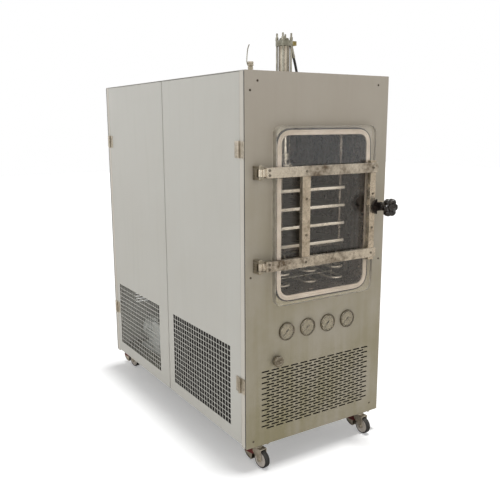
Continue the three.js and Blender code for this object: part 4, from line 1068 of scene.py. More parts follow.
PORT_X, PORT_Z, CHAMBER_BACK = 364, 900, 585
line_route = spline_through([
    [PORT_X, CHAMBER_BACK + 0.4, PORT_Z], [PORT_X, 645, PORT_Z], [360, 715, 892], [334, 800, 850],
    [274, 905, 730], [219, 1015, 570], [196, 1046, 480], [PUMP_X, INLET_Y, 400],
    [PUMP_X, INLET_Y, INLET_TOP + 0.4]], 8)
line_parts = [tube(line_route, 19.2, (0.95, 0.2, 0.1), 40)]
for y0 in (CHAMBER_BACK + 0.4, CHAMBER_BACK + 9.4):
    line_parts.append(turned(eased([[18, y0], [24, y0], [27, y0 + 3.5], [27, y0 + 5],
                                    [24, y0 + 8.6], [18, y0 + 8.6]], 0.8, closed=True),
                             (PORT_X, PORT_Z), "y", 48))
line_parts.append(turned(eased([[18, 300.2], [24, 300.2], [27, 304], [27, 305.4], [24, 309],
                                [18, 309]], 0.8, closed=True),
                         (PUMP_X, INLET_Y), "z", 48))
make_piece("vacuum_line", joined(*line_parts), STEEL, "cabinet", ["vacuum_pipe"])

# ---------------------------------------------------------------- vacuum chamber
# A welded stainless box with rounded corners, its mouth stiffened by a flange. The inside is
# glass-blasted and darker than the outside. The flange carries the door's white silicone gasket.

MOUTH = (153, 575, 611, 1229)
MOUTH_CORNER = 30
CHAMBER_DEPTH, CHAMBER_WALL = 580, 5


def mouth(grow, steps=8):
    """The mouth's outline moved outwards: a rectangle whose corner radius grows with it."""
    x0, x1, z0, z1 = MOUTH
    radius = (MOUTH_CORNER + grow) * 1.35
    return rectangle(x0 - grow, x1 + grow, z0 - grow, z1 + grow, radius, steps)


def mouth_loops(stations):
    """The mouth's outline at each [grow, y], as closed loops."""
    return np.array([crossed(mouth(grow), y, "xz") for grow, y in stations])


def blasted_surface(base, worn, stain, rough):
    """Blasted stainless: an even fine grain, water stains that run down, and paler rubbing."""
    def build(tree):
        where = object_place(tree)
        drawn = node(tree, "VectorMath", {0: where, 1: (40.0, 40.0, 5.0)}, operation="MULTIPLY")
        runs = ranged(tree, noise(tree, drawn.outputs[0], 1.0, 4.0), 0.42, 0.66)
        rub = ranged(tree, noise(tree, where, 26.0, 5.0, 0.65), 0.46, 0.66)
        body = tint(tree, runs, tint(tree, rub, base, worn), stain)
        return {
            "Base Color": body,
            "Roughness": ranged(tree, rub, 0.0, 1.0, *rough),
            "Height": (noise(tree, where, 1500.0, 2.0), 0.25, 0.0002),
        }
    return build


CHAMBER_STEEL = material("chamber_steel", blasted_surface(
    colour(130, 119, 112), colour(152, 140, 132), colour(88, 79, 73), (0.26, 0.44)), Metallic=0.8)

flange_and_walls = mouth_loops([
    [0, 578], [0, 4], [0.8, 1.2], [2.4, 0.2], [26, 0.2], [26.5, 0.8], [26.5, 6.4], [26, 7],
    [7, 7], [CHAMBER_WALL, 9], [CHAMBER_WALL, 583],
    [CHAMBER_WALL - 1, CHAMBER_DEPTH + CHAMBER_WALL],
    [-8, CHAMBER_DEPTH + CHAMBER_WALL], [-8, CHAMBER_DEPTH], [-2, CHAMBER_DEPTH]])
chamber_ring = skin(flange_and_walls, ring=True)


def punched(outline, holes, low, high, edge=0.4, plane="xz"):
    """A sheet with holes: the outline and the holes fill a flat curve by the even-odd rule,
    the curve is given thickness and rounded rims, and becomes mesh points and faces."""
    data = bpy.data.curves.new("sheet", "CURVE")
    data.dimensions = "2D"
    data.fill_mode = "BOTH"
    data.extrude = max((high - low) / 2 - edge, 0.0)
    data.bevel_depth = edge
    data.bevel_resolution = 1
    data.offset = -edge
    for loop in [anticlockwise(outline)] + [anticlockwise(hole)[::-1] for hole in holes]:
        spline = data.splines.new("POLY")
        spline.points.add(len(loop) - 1)
        ends = np.zeros((len(loop), 2))
        spline.points.foreach_set("co",
                                  np.column_stack([loop, ends[:, :1], ends[:, :1] + 1]).ravel())
        spline.use_cyclic_u = True
    flat = bpy.data.objects.new("sheet", data)
    bpy.context.collection.objects.link(flat)
    mesh = bpy.data.meshes.new_from_object(flat)
    co = np.empty(3 * len(mesh.vertices))
    mesh.vertices.foreach_get("co", co)
    co = co.reshape(-1, 3)
    faces = [list(polygon.vertices) for polygon in mesh.polygons]
    bpy.data.objects.remove(flat)
    bpy.data.curves.remove(data)
    bpy.data.meshes.remove(mesh)
    level = (low + high) / 2 + co[:, 2]
    places = {"xz": (co[:, 0], level, co[:, 1]), "xy": (co[:, 0], co[:, 1], level),
              "yz": (level, co[:, 0], co[:, 1])}
    return np.column_stack(places[plane]), faces


COIL_LEVELS = (628, 674)
COIL_TAIL_X = 196
back_wall = punched(mouth(-7.5), [circle(24, (PORT_X, PORT_Z), 48)] + [circle(6, (COIL_TAIL_X, z),
    24) for z in COIL_LEVELS],
                    CHAMBER_DEPTH, CHAMBER_DEPTH + CHAMBER_WALL)
box = make_piece("chamber_box", joined(chamber_ring, back_wall), CHAMBER_STEEL, "cabinet",
                 ["chamber_shell"])

# The outside is left as the sheet came from the mill: those faces look away from the middle.
box.data.materials.append(material("mill_steel", metal_surface(
    colour(186, 182, 174), colour(164, 160, 152), colour(132, 126, 116), (30.0, 30.0, 600.0),
    (0.28, 0.5)), Metallic=0.85))
MIDDLE_OF_CHAMBER = np.array([364, 290, 920])
FLANGE_BACK = 9
towards = np.empty(3 * len(box.data.polygons))
centres = np.empty(3 * len(box.data.polygons))
box.data.polygons.foreach_get("normal", towards)
box.data.polygons.foreach_get("center", centres)
places = (centres.reshape(-1, 3) - CORNER) * 1000
away = (towards.reshape(-1, 3) * (places - MIDDLE_OF_CHAMBER)).sum(axis=1) > 0
outside = away & (places[:, 1] > FLANGE_BACK)
box.data.polygons.foreach_set("material_index", outside.astype(np.int32))

# A dark metal shield over the vacuum port, held on two posts.
shield = turned(eased([[0, 556], [46, 556], [48, 557.5], [48, 559], [0, 559]], 0.6),
                (PORT_X, PORT_Z), "y", 48)
posts = [turned([[0, 559], [3, 559], [3, 580], [0, 580]], (PORT_X + dx, PORT_Z), "y",
                12) for dx in (-29, 29)]
make_piece("port_shield", joined(shield, *posts), material("dark_port_shield", metal_surface(
    colour(74, 62, 52), colour(52, 43, 36), colour(30, 25, 22), (60.0, 60.0, 60.0),
    (0.2, 0.4)), Metallic=0.7), "cabinet")


def gasket_surface(tree):
    """White silicone that has yellowed slightly, with faint handling marks."""
    where = object_place(tree)
    aged = ranged(tree, noise(tree, where, 16.0, 4.0), 0.35, 0.7)
    dust = use(tree, DUST, Amount=0.3)["Dust"]
    silicone = tint(tree, aged, colour(206, 193, 180), colour(184, 170, 155))
    return {"Base Color": tint(tree, dust, silicone, colour(160, 152, 138)),
            "Roughness": ranged(tree, aged, 0.0, 1.0, 0.38, 0.55),
            "Height": (noise(tree, where, 500.0, 2.0), 0.12, 0.0003)}


SILICONE = material("silicone", gasket_surface, Subsurface_Weight=0.08,
                    Subsurface_Radius=(0.01, 0.008, 0.006))
gasket = skin(mouth_loops([
    [1.0, -0.4], [0.4, -1.2], [0.4, -4.6], [1.4, -5.6], [8, -5.6], [10, -4.4], [12, -4.4],
    [14, -5.6],
    [19.2, -5.6], [20.2, -4.6], [20.2, -1.2], [19.6, -0.4]]), ring=True)
make_piece("door_seal", gasket, SILICONE, "cabinet", ["door_gasket"])
bead = skin(mouth_loops([
    [20.6, -0.4], [20.4, -1], [20.6, -4.8], [21.4, -5.6], [23.8, -5.6], [24.8, -4.6], [24.8, -1],
    [24.4, -0.4]]), ring=True)
make_piece("seal_bead", bead, RUBBER, "cabinet")

# ---------------------------------------------------------------- cold trap
# Two layers of hairpin stainless tube lie across the chamber's floor, held by strips. Each
# layer's tail leaves through the back, and a block joins the layers at the right rear.

COIL_TUBE = 5
HAIRPINS = (226, 365, 504)
HAIRPIN_BEND, COIL_FRONT, COIL_REAR = 30, 96, 500


def half_turn(x0, x1, y, z, bulge):
    """Nine stations of a half circle from x0 to x1, bulging forwards or backwards from y."""
    angle = np.linspace(0, math.pi, 9)
    return np.column_stack([(x0 + x1) / 2 - (x1 - x0) / 2 * np.cos(angle),
                            y + bulge * HAIRPIN_BEND * np.sin(angle), np.full(9, float(z))])


def coil_layer(z):
    """One layer of the coil: a straight tail from the back, then half turns at the front and
    the rear in turn, and a straight run to the joining block."""
    route = [np.array([[COIL_TAIL_X, 620.0, z], [COIL_TAIL_X, 300.0, z]])]
    for count, x in enumerate(HAIRPINS):
        route.append(half_turn(x - HAIRPIN_BEND, x + HAIRPIN_BEND, COIL_FRONT, z, -1))
        if count < 2:
            route.append(half_turn(x + HAIRPIN_BEND, HAIRPINS[count + 1] - HAIRPIN_BEND, COIL_REAR,
                                   z, 1))
    route.append(np.array([[534.0, 300.0, z], [534.0, COIL_REAR, z]]))
    return tube(np.vstack(route), COIL_TUBE, (0, 0, 1), 12)


# Painted highlight: the coil's colour is near white and only partly metal, so its bends read bright
# in the dark chamber as glints would.
COIL_GLINT_STEEL = material("coil_steel_painted_glint", metal_surface(
    colour(240, 230, 216), colour(206, 196, 182), colour(150, 140, 126), (90.0, 90.0, 90.0),
    (0.2, 0.4)), Metallic=0.6)
coil_parts = [coil_layer(z) for z in COIL_LEVELS]
coil_parts.append(block((527, 541), (498, 512), (621, 681), 1.5, 3))
for y in (160, 440):
    coil_parts.append(block((190, 540), (y - 6, y + 6), (633.4, 635.4), 0.4, 2))
    coil_parts.append(block((190, 540), (y - 6, y + 6), (666.6, 668.6), 0.4, 2))
    for x in (190, 538):
        coil_parts.append(block((x, x + 2), (y - 6, y + 6), (612, 668), 0.4, 1))
make_piece("trap_coil", joined(*coil_parts), COIL_GLINT_STEEL, "cabinet", ["cold_trap_coil"])

# ---------------------------------------------------------------- shelves and press
# Five hollow stainless plates on four polished guide rods. Fluid passes through the four
# shelves by a nozzle at each end of the right edge. The top plate hangs on the press's ram.

SHELF_X, SHELF_Y = (195, 525), (60, 460)
SHELF_PLATES = {"shelf_1": 1012, "shelf_2": 938, "shelf_3": 864, "shelf_4": 790}
PRESS_Z = 1086
ROD_PLACES = [(x, y) for x in (210, 510) for y in (80, 440)]

# Polished steel whose colour is near white and only half metal: partly a painted highlight, so the
# lips and the ram read bright in the dark chamber.
POLISHED_WITH_GLINT = material("polished_lip", metal_surface(
    colour(246, 238, 226), colour(230, 221, 206), colour(204, 194, 178), (40.0, 900.0, 900.0),
    (0.16, 0.34), 0.1), Metallic=0.55)
SHELF_STEEL = material("shelf_steel", metal_surface(
    colour(168, 162, 154), colour(146, 140, 132), colour(118, 110, 100), (30.0, 900.0, 900.0),
    (0.24, 0.44)), Metallic=1.0)
ROD_STEEL = material("rod_steel", metal_surface(
    colour(126, 118, 109), colour(104, 96, 88), colour(74, 66, 60), (500.0, 500.0, 6.0),
    (0.22, 0.38)), Metallic=1.0)

rack = [turned(eased([[0, 773], [8, 773], [8, 1228], [0, 1228]], 0.6), place, "z",
               32) for place in ROD_PLACES]
for place in ROD_PLACES:
    rack.append(turned(eased([[8.05, 1220], [15, 1220], [15, 1228.4], [8.05, 1228.4]], 1,
                             closed=True), place, "z", 32))
    rack.append(hexagon_nut(place, 22, 765.4, 772.4, "z"))
for y in (80, 440):
    rack.append(block((153.4, 574.6), (y - 12, y + 12), (772.7, 782.7), 1.2, 2))
for x in (210, 510):
    rack.append(block((x - 9, x + 9), (92.2, 427.8), (772.9, 782.5), 1.2, 2))
make_piece("guide_rods", joined(*rack), ROD_STEEL, "cabinet", ["shelf_rack"])


def drilled_plate(z, thickness):
    """A plate with four bored corners, and the bright rim welded round it."""
    holes = [circle(9, place, 32) for place in ROD_PLACES]
    return punched(rectangle(*SHELF_X, *SHELF_Y, 6, 4), holes, z - thickness / 2,
                   z + thickness / 2, 1.6, "xy")


def front_lip(z, thickness):
    """The polished nose of a shelf: a shallow rounded bar along its front edge."""
    half = thickness / 2
    section = eased([[60.2, z - half + 1], [59.2, z - half + 2.2], [59.2, z + half - 2.2],
                     [60.2, z + half - 1]], 0.6, 2, True)
    return slab(section, SHELF_X[0] + 4, SHELF_X[1] - 4, 0.3, "yz")


for name, z in SHELF_PLATES.items():
    body = "cabinet" if name == "shelf_4" else name
    nozzles = []
    for y in (150, 300):
        nozzles.append(turned(eased([[0, 524], [5, 524], [5, 530], [8, 530.5], [8, 536],
                                     [5, 536.5], [5, 544.8], [3.4, 545], [3.4, 540], [0, 540]],
                                     0.5), (y, z), "x", 24))
    make_piece(f"{name}_plate", joined(drilled_plate(z, 14), *nozzles), SHELF_STEEL, body,
               [name])
    make_piece(f"{name}_lip", front_lip(z, 14), POLISHED_WITH_GLINT, body)
make_piece("press_plate_body", drilled_plate(PRESS_Z, 16), SHELF_STEEL, "press",
           ["press_plate"])
make_piece("press_plate_lip", front_lip(PRESS_Z, 16), POLISHED_WITH_GLINT, "press")

CYLINDER = (360, 265)
ram = turned(eased([
    [0, 1094.4], [34, 1094.4], [34, 1102], [30, 1103], [13, 1104], [12, 1106], [12, 1120.5],
    [17, 1120.5],
    [18, 1121.5], [18, 1133], [17, 1134], [17, 1135.5], [18, 1136.5], [18, 1147], [17, 1148],
    [10, 1148],
    [10, 1555], [19.5, 1555], [19.5, 1575], [0, 1575]], 0.5, 2), CYLINDER, "z", 48)
ram_bolts = [cap_screw((CYLINDER[0] + 24 * math.cos(a), CYLINDER[1] + 24 * math.sin(a)), 4, 1102,
                       1107, "z")
             for a in np.linspace(0, 2 * math.pi, 6, endpoint=False)]
make_piece("ram", joined(ram, *ram_bolts), POLISHED_WITH_GLINT, "press", ["press_ram"])

# ---------------------------------------------------------------- press cylinder
# A tie-rod hydraulic cylinder: zinc-plated square heads, a drawn steel tube and four studs with
# nuts. A brass port block takes the swaged sleeve of the hose.

HEAD, TUBE_TOP = 52, 1585
hx = (CYLINDER[0] - HEAD / 2, CYLINDER[0] + HEAD / 2)
hy = (CYLINDER[1] - HEAD / 2, CYLINDER[1] + HEAD / 2)

HEAD_METAL = material("head_casting", metal_surface(
    colour(184, 182, 166), colour(156, 154, 138), colour(116, 112, 96), (70.0, 70.0, 70.0),
    (0.36, 0.6)), Metallic=0.6)
TUBE_METAL = material("drawn_tube", metal_surface(
    colour(164, 156, 142), colour(134, 126, 112), colour(108, 99, 84), (420.0, 420.0, 4.0),
    (0.24, 0.4)), Metallic=0.9)

base_head = punched(rectangle(*hx, *hy, 3), [circle(10.6, CYLINDER, 40)], 1234.3, 1262.3, 0.8, "xy")
make_piece("cylinder_foot", base_head, HEAD_METAL, "cabinet", ["cylinder_base_head"])
barrel = turned(eased([[20, 1262.8], [23.5, 1262.8], [23.5, 1584.4], [20, 1584.4]], 0.4,
                      closed=True), CYLINDER, "z", 64)
make_piece("cylinder_barrel", barrel, TUBE_METAL, "cabinet", ["cylinder_tube"])
top_head = [
    block(hx, hy, (TUBE_TOP, TUBE_TOP + 22), 1.6, 3),
    turned(eased([[0, 1606], [20, 1606], [20, 1614], [16.5, 1617], [0, 1617]], 1.5), CYLINDER, "z",
           48),
]
make_piece("cylinder_head", joined(*top_head), HEAD_METAL, "cabinet", ["cylinder_top_head"])
studs = []
for dx in (-21, 21):
    for dy in (-21, 21):
        place = (CYLINDER[0] + dx, CYLINDER[1] + dy)
        studs.append(turned(eased([[0, 1262.7], [4, 1262.7], [4, 1634.6], [2.8, 1636], [0, 1636]],
                                  0.6), place, "z", 20))
        studs.append(turned(eased([[4, 1607], [7.2, 1607], [7.2, 1608.4], [4, 1608.4]], 0.3,
                                  closed=True), place, "z", 24))
        studs.append(hexagon_nut(place, 12.4, 1608.4, 1615, "z"))
        studs.append(hexagon_nut(place, 12.0, 1615, 1620, "z"))
        ridge = np.arange(1622, 1634, 1.5)
        studs.append(repeated(turned(eased([[3.6, -0.5], [4.25, 0], [3.6, 0.5]], 0.1, closed=True),
                                     place, "z", 16),
                              np.column_stack([ridge * 0, ridge * 0, ridge])))
STUD_METAL = material("dark_studs", metal_surface(
    colour(108, 100, 86), colour(84, 78, 66), colour(60, 54, 46), (300.0, 300.0, 20.0),
    (0.32, 0.55)), Metallic=0.9)
make_piece("tie_rods", joined(*studs), ZINC, "cabinet")

BRASS = material("port_brass", metal_surface(
    colour(176, 158, 104), colour(150, 134, 84), colour(104, 94, 60), (90.0, 90.0, 90.0),
    (0.3, 0.5)), Metallic=1.0)
hose_start = np.array([411.0, 266, 1540])
hose_way = np.array([4.5, 0, -15]) / math.hypot(4.5, 15)
sleeve_top = hose_start - hose_way * 54
port = [
    block((386.3, 406.3), (240, 274), (1587, 1605), 1.2, 2),
    hexagon_nut((396.3, 266), 11, 1605, 1609, "z"),
    tube([sleeve_top + hose_way * d for d in (-6, -1, 0, 6)], [7.0, 8.2, 8.2, 8.2], (0, 1, 0), 6),
]
make_piece("port_block", joined(*port), BRASS, "cabinet", ["port_fitting"])
sleeve_steps = [4, 6, 8, 14, 16, 18, 24, 26, 28, 34, 36, 38, 44, 50, 53, 53.6]
sleeve_radii = [5.4, 6.8, 7, 7, 6.4, 7, 7, 6.4, 7, 7, 6.4, 7, 7, 7, 6.8, 6.0]
sleeve = tube([sleeve_top + hose_way * d for d in sleeve_steps], sleeve_radii, (0, 1, 0), 32)
make_piece("hose_sleeve", sleeve, ZINC, "cabinet")

# ---------------------------------------------------------------- hydraulic unit
# A folded and welded oil tank painted black, with a finned motor lying on it and the port that
# takes the hose. It stands on the chamber behind the cylinder's foot, under the roof.

UNIT_X, UNIT_Y, UNIT_FOOT = (415, 555), (235, 465), 1234.3
unit_parts = [
    block(UNIT_X, UNIT_Y, (UNIT_FOOT, UNIT_FOOT + 84), 3, 8),
    block((UNIT_X[0] + 2, UNIT_X[1] - 2), (UNIT_Y[0] + 2, UNIT_Y[1] - 2),
          (UNIT_FOOT + 84, UNIT_FOOT + 90), 1, 4),
    turned(eased([[0, 305], [29, 305], [30, 307], [30, 440], [34, 441], [34, 452], [28, 455],
                  [0, 455]], 2), (505, 1346.3), "y", 48),
    block((470, 540), (320, 425), (UNIT_FOOT + 88, UNIT_FOOT + 92), 1, 4),
    turned(eased([[0, 1324], [9, 1324], [9, 1375], [6, 1376], [6, 1397.5], [0, 1397.5]], 0.8),
           (437, 266), "z", 32),
    hexagon_nut((437, 266), 16, 1376, 1388, "z"),
    turned(eased([[0, 1324], [16, 1324], [18, 1328], [18, 1340], [14, 1344], [0, 1344]], 2),
           (445, 420), "z", 32),
]
unit_rib = slab(rectangle(29.4, 33.6, -0.9, 0.9, 0.4), 312, 438, 0.3)
for count in range(20):
    unit_parts.append(moved(spun(unit_rib, 18 * count, (0, 0), "y"), (505, 0, 1346.3)))
make_piece("hydraulic_set", joined(*unit_parts), DARK_PAINT, "cabinet",
           ["hydraulic_unit"])

# ---------------------------------------------------------------- roof
# A 2 mm sheet with a round hole for the cylinder, a small one for the hose with a rubber
# grommet, and the release valve's hole. It lies on the frame inside the end panels.

PANEL_PAINT = material("side_paint", painted_surface(
    colour(193, 191, 183), colour(198, 197, 190), colour(179, 177, 165), amount=0.2), IOR=1.5)

VALVE_PLACE = (102, 120)
HOSE_PLACE = (432, 266)
roof = punched(rectangle(0.2, 699.8, 2.3, 1387.7, 1.5),
               [circle(41, CYLINDER, 64), circle(11, HOSE_PLACE, 32), circle(6.6, VALVE_PLACE, 24)],
               1458, 1460, 0.4, "xy")
make_piece("roof_sheet", roof, PANEL_PAINT, "cabinet", ["top_panel"])
collar = turned(eased([[30, 1460], [44, 1460], [46, 1461], [46, 1462.5], [40, 1463.6], [30, 1464]],
                      0.8, closed=True), CYLINDER, "z", 64)
grommet = turned(eased([[9, 1456.4], [13.6, 1456.4], [13.6, 1457.8], [11, 1458.4], [11, 1459.8],
                        [13.6, 1460.2], [13.6, 1462], [9, 1462.6]], 0.6, closed=True), HOSE_PLACE,
                        "z", 40)
make_piece("roof_grommets", joined(collar, grommet), RUBBER, "cabinet")


def pan_screw(centre, face, out, axis="y", head=4.6):
    """A low round head with a cross recess of two slots."""
    dome = turned(eased([[0, face], [head, face], [head * 0.86, face + out * 1.4],
                         [head * 0.4, face + out * 2.1], [0, face + out * 2.2]], 0.8),
                  centre, axis, 20)
    u, v = centre
    low, high = sorted((face + out * 1.9, face + out * 2.3))
    cross = [slab(rectangle(u - a, u + a, v - b, v + b, 0.3), low, high, 0.1,
                  {"y": "xz", "x": "yz", "z": "xy"}[axis])
             for a, b in ((2.2, 0.5), (0.5, 2.2))]
    return joined(dome, *cross)


screws = [pan_screw((x, y), 1460, 1, "z") for x in (30, 350, 670) for y in (20, 470, 920, 1370)]
make_piece("roof_screws", joined(*screws), ZINC, "cabinet")

# ---------------------------------------------------------------- release valve
# A turned zinc body with two knurled rings stands on the roof, and a thin steel tube is bent
# up beside it.

body_profile = eased([
    [0, 1430], [5.8, 1430], [5.8, 1460.2], [12.5, 1460.2], [12.5, 1467], [11, 1468.4], [9, 1469],
    [9, 1472], [10, 1473], [10, 1482], [8.4, 1483], [8.4, 1484.5], [11.6, 1485.5], [12, 1487],
    [12, 1491], [11, 1492], [11, 1493], [12, 1494], [12, 1498.5], [10.5, 1501], [0, 1501.2]], 0.8)
valve = [turned(body_profile, VALVE_PLACE, "z", 40),
         hexagon_nut(VALVE_PLACE, 21, 1460.2, 1467, "z")]
make_piece("release_valve", joined(*valve), FORK_ZINC, "cabinet", ["vent_valve"])
bent = spline_through([[90.5, 120, 1488], [88.6, 120, 1491], [86.4, 120, 1498], [86.0, 120, 1507],
                       [88, 120, 1530], [91, 120, 1548], [97, 120, 1562]], 5)
make_piece("vent_pipe", tube(bent, 1.9, (0, 1, 0), 16), ZINC, "cabinet", ["vent_tube"])

# ---------------------------------------------------------------- front panel
# One 2 mm sheet, powder coated beige. The chamber's flange shows through its mouth, four
# gauges and a valve sit below, and 22 staggered rows of slots are punched at the foot.

# The front's foot colour is painted shade: the sheet darkens towards the floor.
FRONT_PAINT = material("front_paint", painted_surface(
    colour(165, 156, 143), colour(170, 162, 149), colour(146, 138, 116), amount=0.2,
    foot=colour(139, 131, 101)), IOR=1.5)

GAUGE_X, GAUGE_Z = (192, 296, 401, 506), 460
KNOB_X, KNOB_Z = 142, 348
LATCH_X, LATCH_Z = 626, 936
SLOT, SLOT_PITCH, SLOT_ROW, SLOT_COUNT, SLOT_TALL = 37.5, 47.4, 11.54, 22, 5.8

slots = []
for row in range(SLOT_COUNT):
    z = 309.8 - row * SLOT_ROW
    start, count = (73.5, 12) if row % 2 == 0 else (73.5 + SLOT_PITCH / 2, 11)
    for column in range(count):
        x = start + column * SLOT_PITCH
        slots.append(rectangle(x, x + SLOT, z - SLOT_TALL / 2, z + SLOT_TALL / 2, SLOT_TALL * 0.44,
                               2))
front_holes = [mouth(27), circle(5.6, (KNOB_X, KNOB_Z), 24), circle(8.3, (LATCH_X, LATCH_Z), 32)]
front_holes += [circle(33.4, (x, GAUGE_Z), 48) for x in GAUGE_X]
front_sheet = punched(rectangle(0, WIDTH, 0, HEIGHT, 2.5, 3), front_holes + slots, 0, 2, 0.5)
boss = turned(eased([[8.3, -14], [12, -14], [12, 1.8], [8.3, 1.8]], 0.8, closed=True),
              (LATCH_X, LATCH_Z), "y", 40)
make_piece("front_sheet", joined(front_sheet, boss), FRONT_PAINT, "cabinet",
           ["front_panel"])

DARK_SCREW = material("darkened_screw", metal_surface(
    colour(104, 96, 82), colour(80, 72, 60), colour(58, 50, 40), (80.0, 80.0, 80.0),
    (0.4, 0.6)), Metallic=0.8)
screws = [pan_screw(place, 0, -1) for place in ((55, 1424), (23, 1390), (643, 1424), (34, 26),
                                                (653, 39), (23, 700), (677, 700))]
make_piece("front_screws", joined(*screws), DARK_SCREW, "cabinet")

FOAM = material("filter_foam", rubber_surface(colour(14, 14, 13), colour(24, 23, 22), 0.6), IOR=1.3)
foam = slab(rectangle(60, 640, 46, 322, 6), 8, 14, 1)
make_piece("front_filter", foam, FOAM, "cabinet")

# ---------------------------------------------------------------- rear panel and power inlet
# A plain coated sheet with two banks of pressed louvres, screwed round its edge, and a black
# round appliance inlet for the mains.

INLET = (560, 180)
louvres = [rectangle(x, x + 100, z, z + 7, 3, 2) for x in (120, 240, 360, 480) for z in range(260,
    420, 16)]
rear = punched(rectangle(0, WIDTH, 0, HEIGHT, 2.5, 3), louvres + [circle(12.8, INLET, 40)], 1388,
               1390, 0.5)
hoods = []
for x in (120, 240, 360, 480):
    for z in range(260, 420, 16):
        hood = eased([[1389.6, z + 8.6], [1390.4, z + 8.9], [1395.2, z + 3.4], [1395.6, z + 0.6],
                      [1394.6, z + 0.4], [1393.8, z + 3.0], [1389.6, z + 7.4]], 0.7, 2, True)
        hoods.append(slab(hood, x - 1, x + 101, 0.5, "yz"))
make_piece("rear_sheet", joined(rear, *hoods), PANEL_PAINT, "cabinet", ["rear_panel"])
screws = [pan_screw((x, z), 1390, 1) for x in (16, 350, 684) for z in (20, 380, 740, 1100, 1440)]
make_piece("rear_screws", joined(*screws), ZINC, "cabinet")

BLACK_PLASTIC = material("black_plastic", moulded_surface(colour(26, 25, 24), colour(58, 55, 51)),
                         IOR=1.46)
inlet = turned(eased([
    [0, 1374.5], [12, 1374.5], [12, 1390.4], [19.8, 1390.4], [19.8, 1395], [18, 1396.4], [14, 1398],
    [14, 1414.4], [12.6, 1416], [8.6, 1416], [8, 1414], [8, 1394.4], [0, 1394.4]], 0.8), INLET,
    "y", 40)
prongs = [turned(eased([[0, 1394], [2.2, 1394], [2.2, 1409], [1.2, 1411], [0, 1411]], 0.5),
                 (560 + 4.4 * math.cos(a), 180 + 4.4 * math.sin(a)), "y", 16)
          for a in (math.pi / 2, math.pi * 7 / 6, math.pi * 11 / 6)]
make_piece("mains_inlet", inlet, BLACK_PLASTIC, "cabinet", ["power_inlet"])
make_piece("inlet_prongs", joined(*prongs), BRASS, "cabinet")

# ---------------------------------------------------------------- side doors
# Each side is closed by two doors: trays folded from 1.5 mm sheet with 16 mm returns, punched
# with 23 by 15 square holes low down, and hung on lift-off hinges at the cabinet's corners.

DOOR_LIP, DOOR_SKIN, DOOR_BOTTOM, DOOR_TOP, SEAM = 16, 1.5, 8, 1457, 692.5
DOOR_SPANS = {"front": (35.3, SEAM - 3), "rear": (SEAM + 3, 1354.7)}
GRILLES = {"front": (118, 62), "rear": (794, 65)}
HOLE, HOLE_PITCH, HOLE_COLUMNS, HOLE_ROWS = 19.8, 22.7, 23, 15
FOLD = 3.6


def tray(y0, y1):
    """The folded tray on the left side: closed loops of its outline run from the skin's inner
    face round the fold and along the return, then back along the inside."""
    outline = rectangle(y0, y1, DOOR_BOTTOM, DOOR_TOP, 2.5, 3)
    stations = [(FOLD, 1.5), (FOLD, 0), (FOLD * 0.55, 0.12), (FOLD * 0.16, FOLD * 0.45), (0, FOLD),
                (0, DOOR_LIP), (DOOR_SKIN, DOOR_LIP), (DOOR_SKIN, FOLD + 1), (FOLD, 1.5)]
    loops = np.array([crossed(inset(outline, move) if move else outline, depth, "yz") for move,
                      depth in stations[:-1]])
    return skin(loops, ring=True)


for name, (pin_y, toward) in SIDES.items():
    part = name.split("_")[1]
    y0, y1 = DOOR_SPANS[part]
    grille_y, grille_z = GRILLES[part]
    holes = [rectangle(grille_y + HOLE_PITCH * i, grille_y + HOLE_PITCH * i + HOLE,
                       grille_z + HOLE_PITCH * j, grille_z + HOLE_PITCH * j + HOLE, 2.2, 2)
             for i in range(HOLE_COLUMNS) for j in range(HOLE_ROWS)]
    sheet = punched(inset(rectangle(y0, y1, DOOR_BOTTOM, DOOR_TOP, 2.5, 3), FOLD), holes, 0,
                    DOOR_SKIN, 0.35, "yz")
    make_piece(f"door_{name}", on_side(joined(tray(y0, y1), sheet), name), PANEL_PAINT,
               f"side_door_{name}", [f"side_door_{name}"])
    if part == "front":
        foam = slab(rectangle(grille_y - 6, grille_y + HOLE_PITCH * HOLE_COLUMNS, grille_z - 6,
                              grille_z + HOLE_PITCH * HOLE_ROWS, 6), 2, 9, 1, "yz")
        make_piece(f"door_filter_{name}", on_side(foam, name), FOAM, f"side_door_{name}")
    halves = [hinge_half(pin_y, toward, z, [(-10, 10)]) for z in HINGE_HEIGHTS]
    make_piece(f"door_hinge_halves_{name}", on_side(joined(*halves), name), FORK_ZINC,
               f"side_door_{name}")

# ---------------------------------------------------------------- chamber door
# A clear 24 mm acrylic plate is carried by a frame of stainless bars: two cross bars that end
# in hinge eyes, and two uprights between them. Blocks on the panel hold the hinge pins.

PLATE = (118, 613, 575, 1265)
BAR_TALL, BAR_LEVELS = 39, (744.5, 1095.5)
BAR_BACK, BAR_FRONT = -30.3, -50.3
PIN = (45, -34)


def clear_acrylic():
    """Clear acrylic: a Principled glass that lets a lamp's light straight through, so that it
    casts hardly any shadow, with faint smears and scratches on its faces."""
    new = bpy.data.materials.new("clear_acrylic")
    new.use_nodes = True
    tree = new.node_tree
    shader = tree.nodes["Principled BSDF"]
    shader.inputs["Transmission Weight"].default_value = 1.0
    shader.inputs["IOR"].default_value = 1.49
    shader.inputs["Specular IOR Level"].default_value = 0.22
    where = object_place(tree)
    smear = ranged(tree, noise(tree, where, 7.0, 5.0, 0.65), 0.45, 0.8)
    tree.links.new(tint(tree, smear, colour(250, 249, 246), colour(240, 238, 232)),
                   shader.inputs["Base Color"])
    tree.links.new(ranged(tree, smear, 0.0, 1.0, 0.02, 0.09), shader.inputs["Roughness"])
    clear = node(tree, "BsdfTransparent", {"Color": (0.96, 0.96, 0.95, 1.0)})
    shadow = node(tree, "LightPath").outputs["Is Shadow Ray"]
    mix = node(tree, "MixShader", {0: shadow, 1: shader.outputs[0], 2: clear.outputs[0]})
    tree.links.new(mix.outputs[0], tree.nodes["Material Output"].inputs["Surface"])
    return new


